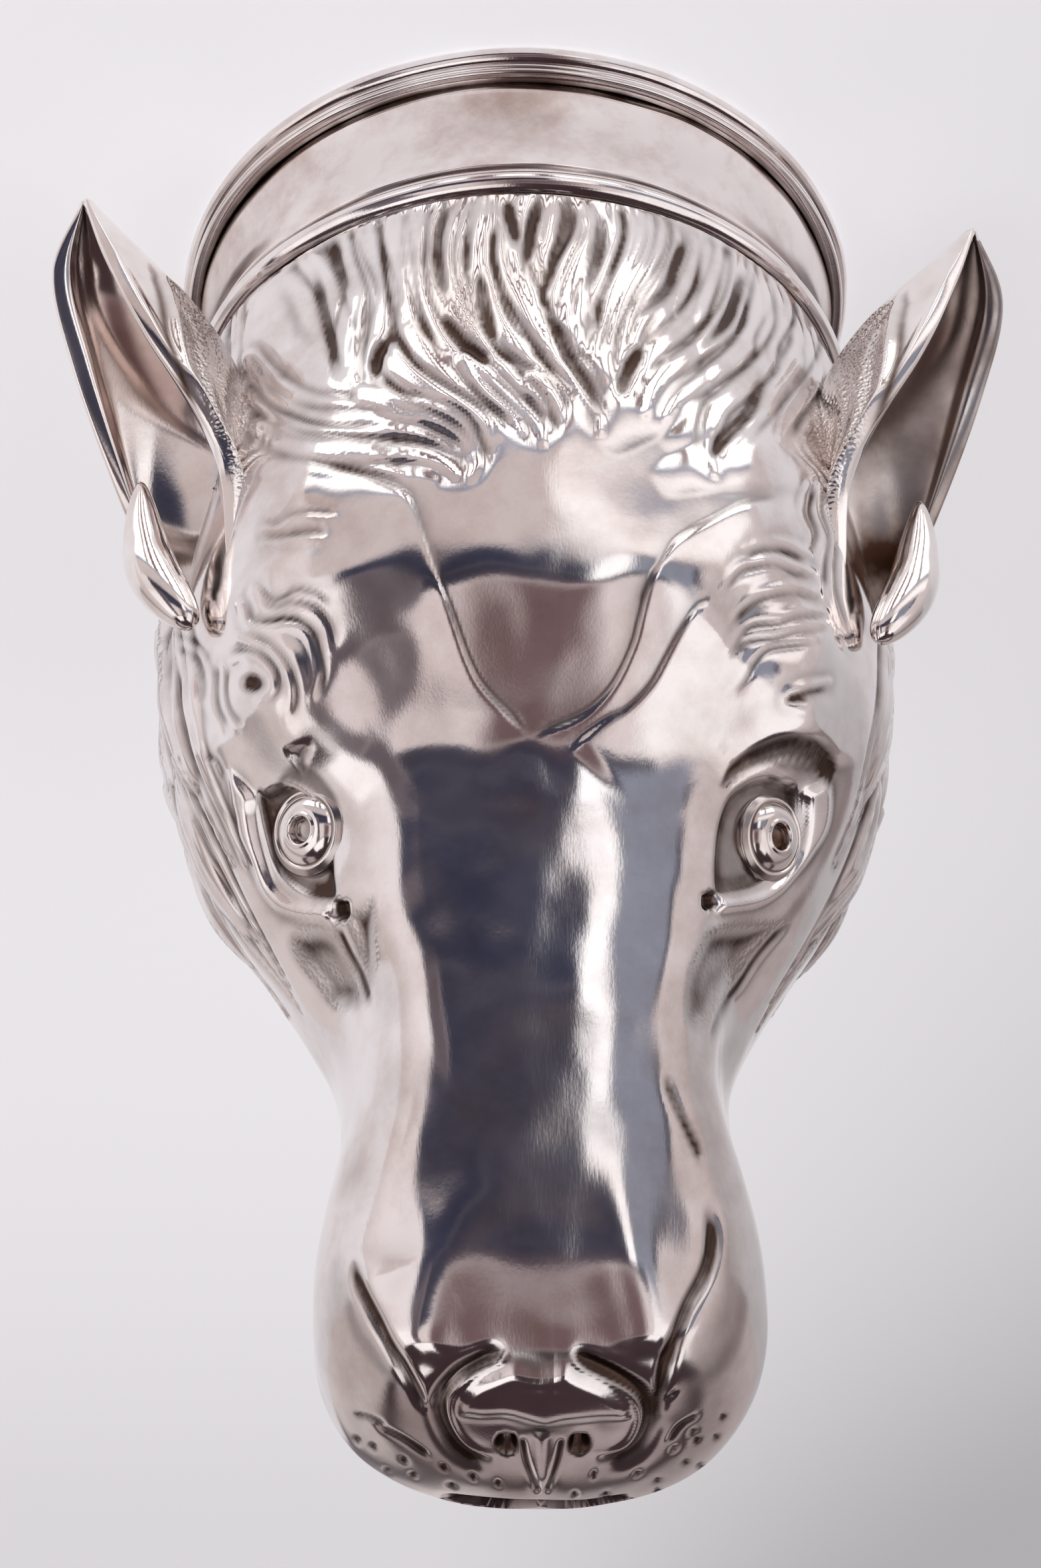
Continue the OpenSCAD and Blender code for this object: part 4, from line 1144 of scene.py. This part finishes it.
def silver(name, bright, tarnish, roughness, patina):
    """Polished silver: uneven polish, hair scratches, punched stipple, brown tarnish in the recesses, and in
    one ear a painted dark reflection through the same share.
    """
    material, tree, shader = new_material(name)
    place = add_node(tree, "ShaderNodeTexCoord").outputs["Object"]
    recess, stipple = [add_node(tree, "ShaderNodeAttribute", attribute_name=key).outputs["Fac"]
                       for key in ("recess", "stipple")]
    cloud = noise(tree, place, scale=140, detail=5)
    grain = noise(tree, place, scale=2600, detail=3)
    breath = noise(tree, place, scale=90, detail=7, Roughness=0.65)
    punched = add_node(tree, "ShaderNodeTexVoronoi", {"Vector": place, "Scale": 2300}).outputs["Distance"]
    patchy = calc(tree, "MULTIPLY", cloud, PATCHINESS)
    # Share of the tarnish colour: real tarnish in the recesses, and on the floor of the fox's left ear a
    # painted dark reflection
    tarnish_and_painted_reflection = calc(tree, "MULTIPLY", recess, patchy, clamp=True)
    veil = remap(tree, breath, 0.44, 0.68, last=patina)
    worn = mixed(tree, veil, bright, WORN_COLOUR)
    polish = remap(tree, cloud, 0.3, 0.7, roughness * 0.75, roughness * 1.4)
    pits = calc(tree, "MULTIPLY", punched, stipple)
    drawn = add_node(tree, "ShaderNodeMapping", {"Vector": place, "Rotation": SCRATCH_TURN,
                                                 "Scale": SCRATCH_SCALE}).outputs["Vector"]
    hair = bump(tree, noise(tree, drawn, scale=1, detail=2), 0.3, FINE_DEPTH)
    fine = bump(tree, grain, 0.25, FINE_DEPTH, Normal=hair)
    made = {
        "Base Color": mixed(tree, tarnish_and_painted_reflection, worn, tarnish),
        "Roughness": calc(tree, "MULTIPLY_ADD", tarnish_and_painted_reflection, DULLING, polish),
        "Normal": bump(tree, pits, 0.8, PUNCH_DEPTH, Normal=fine),
    }
    for key, socket in made.items():
        tree.links.new(socket, shader.inputs[key])
    shader.inputs["Metallic"].default_value = 1
    return material


# Stage and light
# The white board it stands on ends a little way in front of the forehead
FLOOR_SIDE, FLOOR_FRONT, FLOOR_BACK = 2.0, 0.05, 3.0
FLOOR_COLOUR = (0.86, 0.865, 0.89)
# The board's own glow, which is seen and mirrored but lights nothing
FLOOR_LIFT = 0.56
# Painted shade on the board: it greys towards the right and away from the window; places in metres and
# shares of its colour
FLOOR_SHADE_X, FLOOR_SHADE_Y = (-0.30, 0.02, 0.62, 1.0), (0.05, 0.80, 1.0, 0.84)


def add_floor():
    mesh = bpy.data.meshes.new("floor")
    corners = [(-FLOOR_SIDE, -FLOOR_FRONT, 0), (FLOOR_SIDE, -FLOOR_FRONT, 0), (FLOOR_SIDE, FLOOR_BACK, 0),
               (-FLOOR_SIDE, FLOOR_BACK, 0)]
    mesh.from_pydata(corners, [], [(0, 1, 2, 3)])
    material, tree, shader = new_material("floor")
    place = add_node(tree, "ShaderNodeTexCoord").outputs["Object"]
    part = add_node(tree, "ShaderNodeSeparateXYZ", {"Vector": place}).outputs
    # Painted shade: the board's colour darkens towards the right and away from the window
    shade = 1.0
    for axis, places_and_shares in (("X", FLOOR_SHADE_X), ("Y", FLOOR_SHADE_Y)):
        ramp = remap(tree, part[axis], *places_and_shares, course="SMOOTHSTEP")
        shade = calc(tree, "MULTIPLY", ramp, shade)
    colour = add_node(tree, "ShaderNodeVectorMath", {0: FLOOR_COLOUR, "Scale": shade},
                      operation="SCALE").outputs[0]
    tree.links.new(colour, shader.inputs["Base Color"])
    tree.links.new(colour, shader.inputs["Emission Color"])
    shader.inputs["Roughness"].default_value = 0.9
    shader.inputs["Specular IOR Level"].default_value = 0.1
    path = add_node(tree, "ShaderNodeLightPath").outputs
    seen = calc(tree, "MAXIMUM", path["Is Camera Ray"], path["Is Glossy Ray"])
    seen = calc(tree, "MAXIMUM", seen, path["Is Transmission Ray"])
    tree.links.new(calc(tree, "MULTIPLY", seen, FLOOR_LIFT), shader.inputs["Emission Strength"])
    mesh.materials.append(material)
    floor = bpy.data.objects.new("floor", mesh)
    bpy.context.scene.collection.objects.link(floor)


# Room seen by the silver: longitude from the forehead towards +X, latitude towards the nose, in degrees
ROOM_BASE = (0.88, 0.82, 0.83, 1)
ROOM_PATCHES = [
    # low and high longitude, low and high latitude, softness, colour
    (75, 185, -90, 60, 14, (0.68, 0.62, 0.61, 1)),
    (-82, -52, -90, 60, 10, (0.66, 0.60, 0.60, 1)),
    (-185, -80, -90, 60, 12, (0.44, 0.39, 0.39, 1)),
    (-66, 66, -75, -31, 3, (1.75, 1.75, 1.75, 1)),
    (28, 34, -60, -31, 2, (0.30, 0.20, 0.20, 1)),
    (10, 19, -60, -31, 2, (0.22, 0.13, 0.14, 1)),
    (-10, -3, -60, -31, 2, (0.20, 0.12, 0.13, 1)),
    (-38, -31, -60, -31, 2, (0.26, 0.19, 0.18, 1)),
    (-66, 66, -31, -27, 2, (0.30, 0.33, 0.42, 1)),
    (-66, 66, -27, -12, 2, (0.64, 0.56, 0.55, 1)),
    (-52, 52, -12, -1, 2.5, (0.035, 0.038, 0.07, 1)),
    (-34, 36, -3, 9, 2.5, (0.045, 0.045, 0.07, 1)),
    (35, 50, -3, 24, 3, (0.13, 0.105, 0.12, 1)),
    (30, 50, 22, 40, 4, (0.17, 0.14, 0.155, 1)),
    (-48, -21, -12, 4, 3, (0.27, 0.29, 0.36, 1)),
    (-20, -8, -13, 5, 2.5, (1.25, 1.24, 1.26, 1)),
    (-32, 34, 9, 38, 2.5, (0.78, 0.70, 0.70, 1)),
    (-15, 10, 8, 40, 8, (0.17, 0.11, 0.115, 1)),
    (50, 75, 3, 40, 3, (1.10, 1.06, 1.06, 1)),
    (-66, -6, -25, -15, 3, (1.15, 1.11, 1.11, 1)),
    (-72, -31, 8, 40, 3, (1.05, 1.02, 1.02, 1)),
    (-185, 185, 38, 92, 4, (0.05, 0.03, 0.035, 1)),
    (7, 60, 40, 66, 4, (1.15, 1.12, 1.12, 1)),
    (-60, -24, 36, 54, 4, (1.10, 1.08, 1.08, 1)),
    (100, 185, 48, 68, 5, (0.42, 0.36, 0.36, 1)),
    (-185, -100, 48, 68, 5, (0.40, 0.34, 0.34, 1)),
    (96, 108, -40, 45, 4, (0.42, 0.38, 0.38, 1)),
    (-112, -100, -40, 45, 4, (0.26, 0.22, 0.22, 1)),
    (160, 172, -10, 45, 5, (0.15, 0.13, 0.14, 1)),
]
BACKGROUND = (0.87, 0.86, 0.88, 1)


def band(tree, value, low, high, soft):
    """A soft-edged share that is 1 between two values."""
    rise = remap(tree, value, low - soft, low + soft, course="SMOOTHSTEP")
    fall = remap(tree, value, high - soft, high + soft, 1, 0, course="SMOOTHSTEP")
    return calc(tree, "MULTIPLY", rise, fall)


def add_room():
    world = bpy.data.worlds.new("room")
    world.use_nodes = True
    tree = world.node_tree
    direction = add_node(tree, "ShaderNodeTexCoord").outputs["Generated"]
    part = add_node(tree, "ShaderNodeSeparateXYZ", {"Vector": direction}).outputs
    turn = calc(tree, "ARCTAN2", part["X"], calc(tree, "MULTIPLY", part["Y"], -1.0))
    rise = calc(tree, "ARCSINE", part["Z"])
    longitude, latitude = [calc(tree, "MULTIPLY", angle, 180 / math.pi) for angle in (turn, rise)]
    colour = ROOM_BASE
    for low_lon, high_lon, low_lat, high_lat, soft, paint in ROOM_PATCHES:
        across = band(tree, longitude, low_lon, high_lon, soft)
        upward = band(tree, latitude, low_lat, high_lat, soft)
        colour = mixed(tree, calc(tree, "MULTIPLY", across, upward), colour, paint)
    seen = add_node(tree, "ShaderNodeLightPath").outputs["Is Camera Ray"]
    tree.links.new(mixed(tree, seen, colour, BACKGROUND), tree.nodes["Background"].inputs["Color"])
    bpy.context.scene.world = world


# Silver of the head, of the handled collar and of the cast pieces: colour, tarnish (on the cast pieces also
# the colour of the painted dark reflection in one ear), roughness, patina
SILVERS = [
    ("silver", (0.90, 0.85, 0.84, 1), (0.08, 0.05, 0.04, 1), 0.10, 0.5),
    ("silver_collar", (0.92, 0.85, 0.83, 1), (0.12, 0.07, 0.06, 1), 0.13, 0.7),
    ("silver_cast", (0.94, 0.89, 0.87, 1), (0.11, 0.055, 0.035, 1), 0.10, 0.4),
]


def main():
    bpy.context.scene.view_settings.view_transform = "Standard"
    add_camera()
    add_room()
    add_floor()
    plain, handled, cast = [silver(*finish) for finish in SILVERS]
    head = chased_head()
    head_half(head, "head_left_half", 0, plain)
    head_half(head, "head_right_half", HALF_COLUMNS, plain)
    turned_ring("collar", collar_outline(), handled, uneven=0.09, seed=11)
    turned_ring("lip_moulding", lip_outline(), plain, uneven=0.06, seed=12)
    turned_ring("neck_bead", bead_outline(), plain, uneven=0.06, seed=13)
    for name, side in (("right", 1), ("left", -1)):
        ear(name + "_ear", side, cast)
        eye(name + "_eye", side, cast)


main()
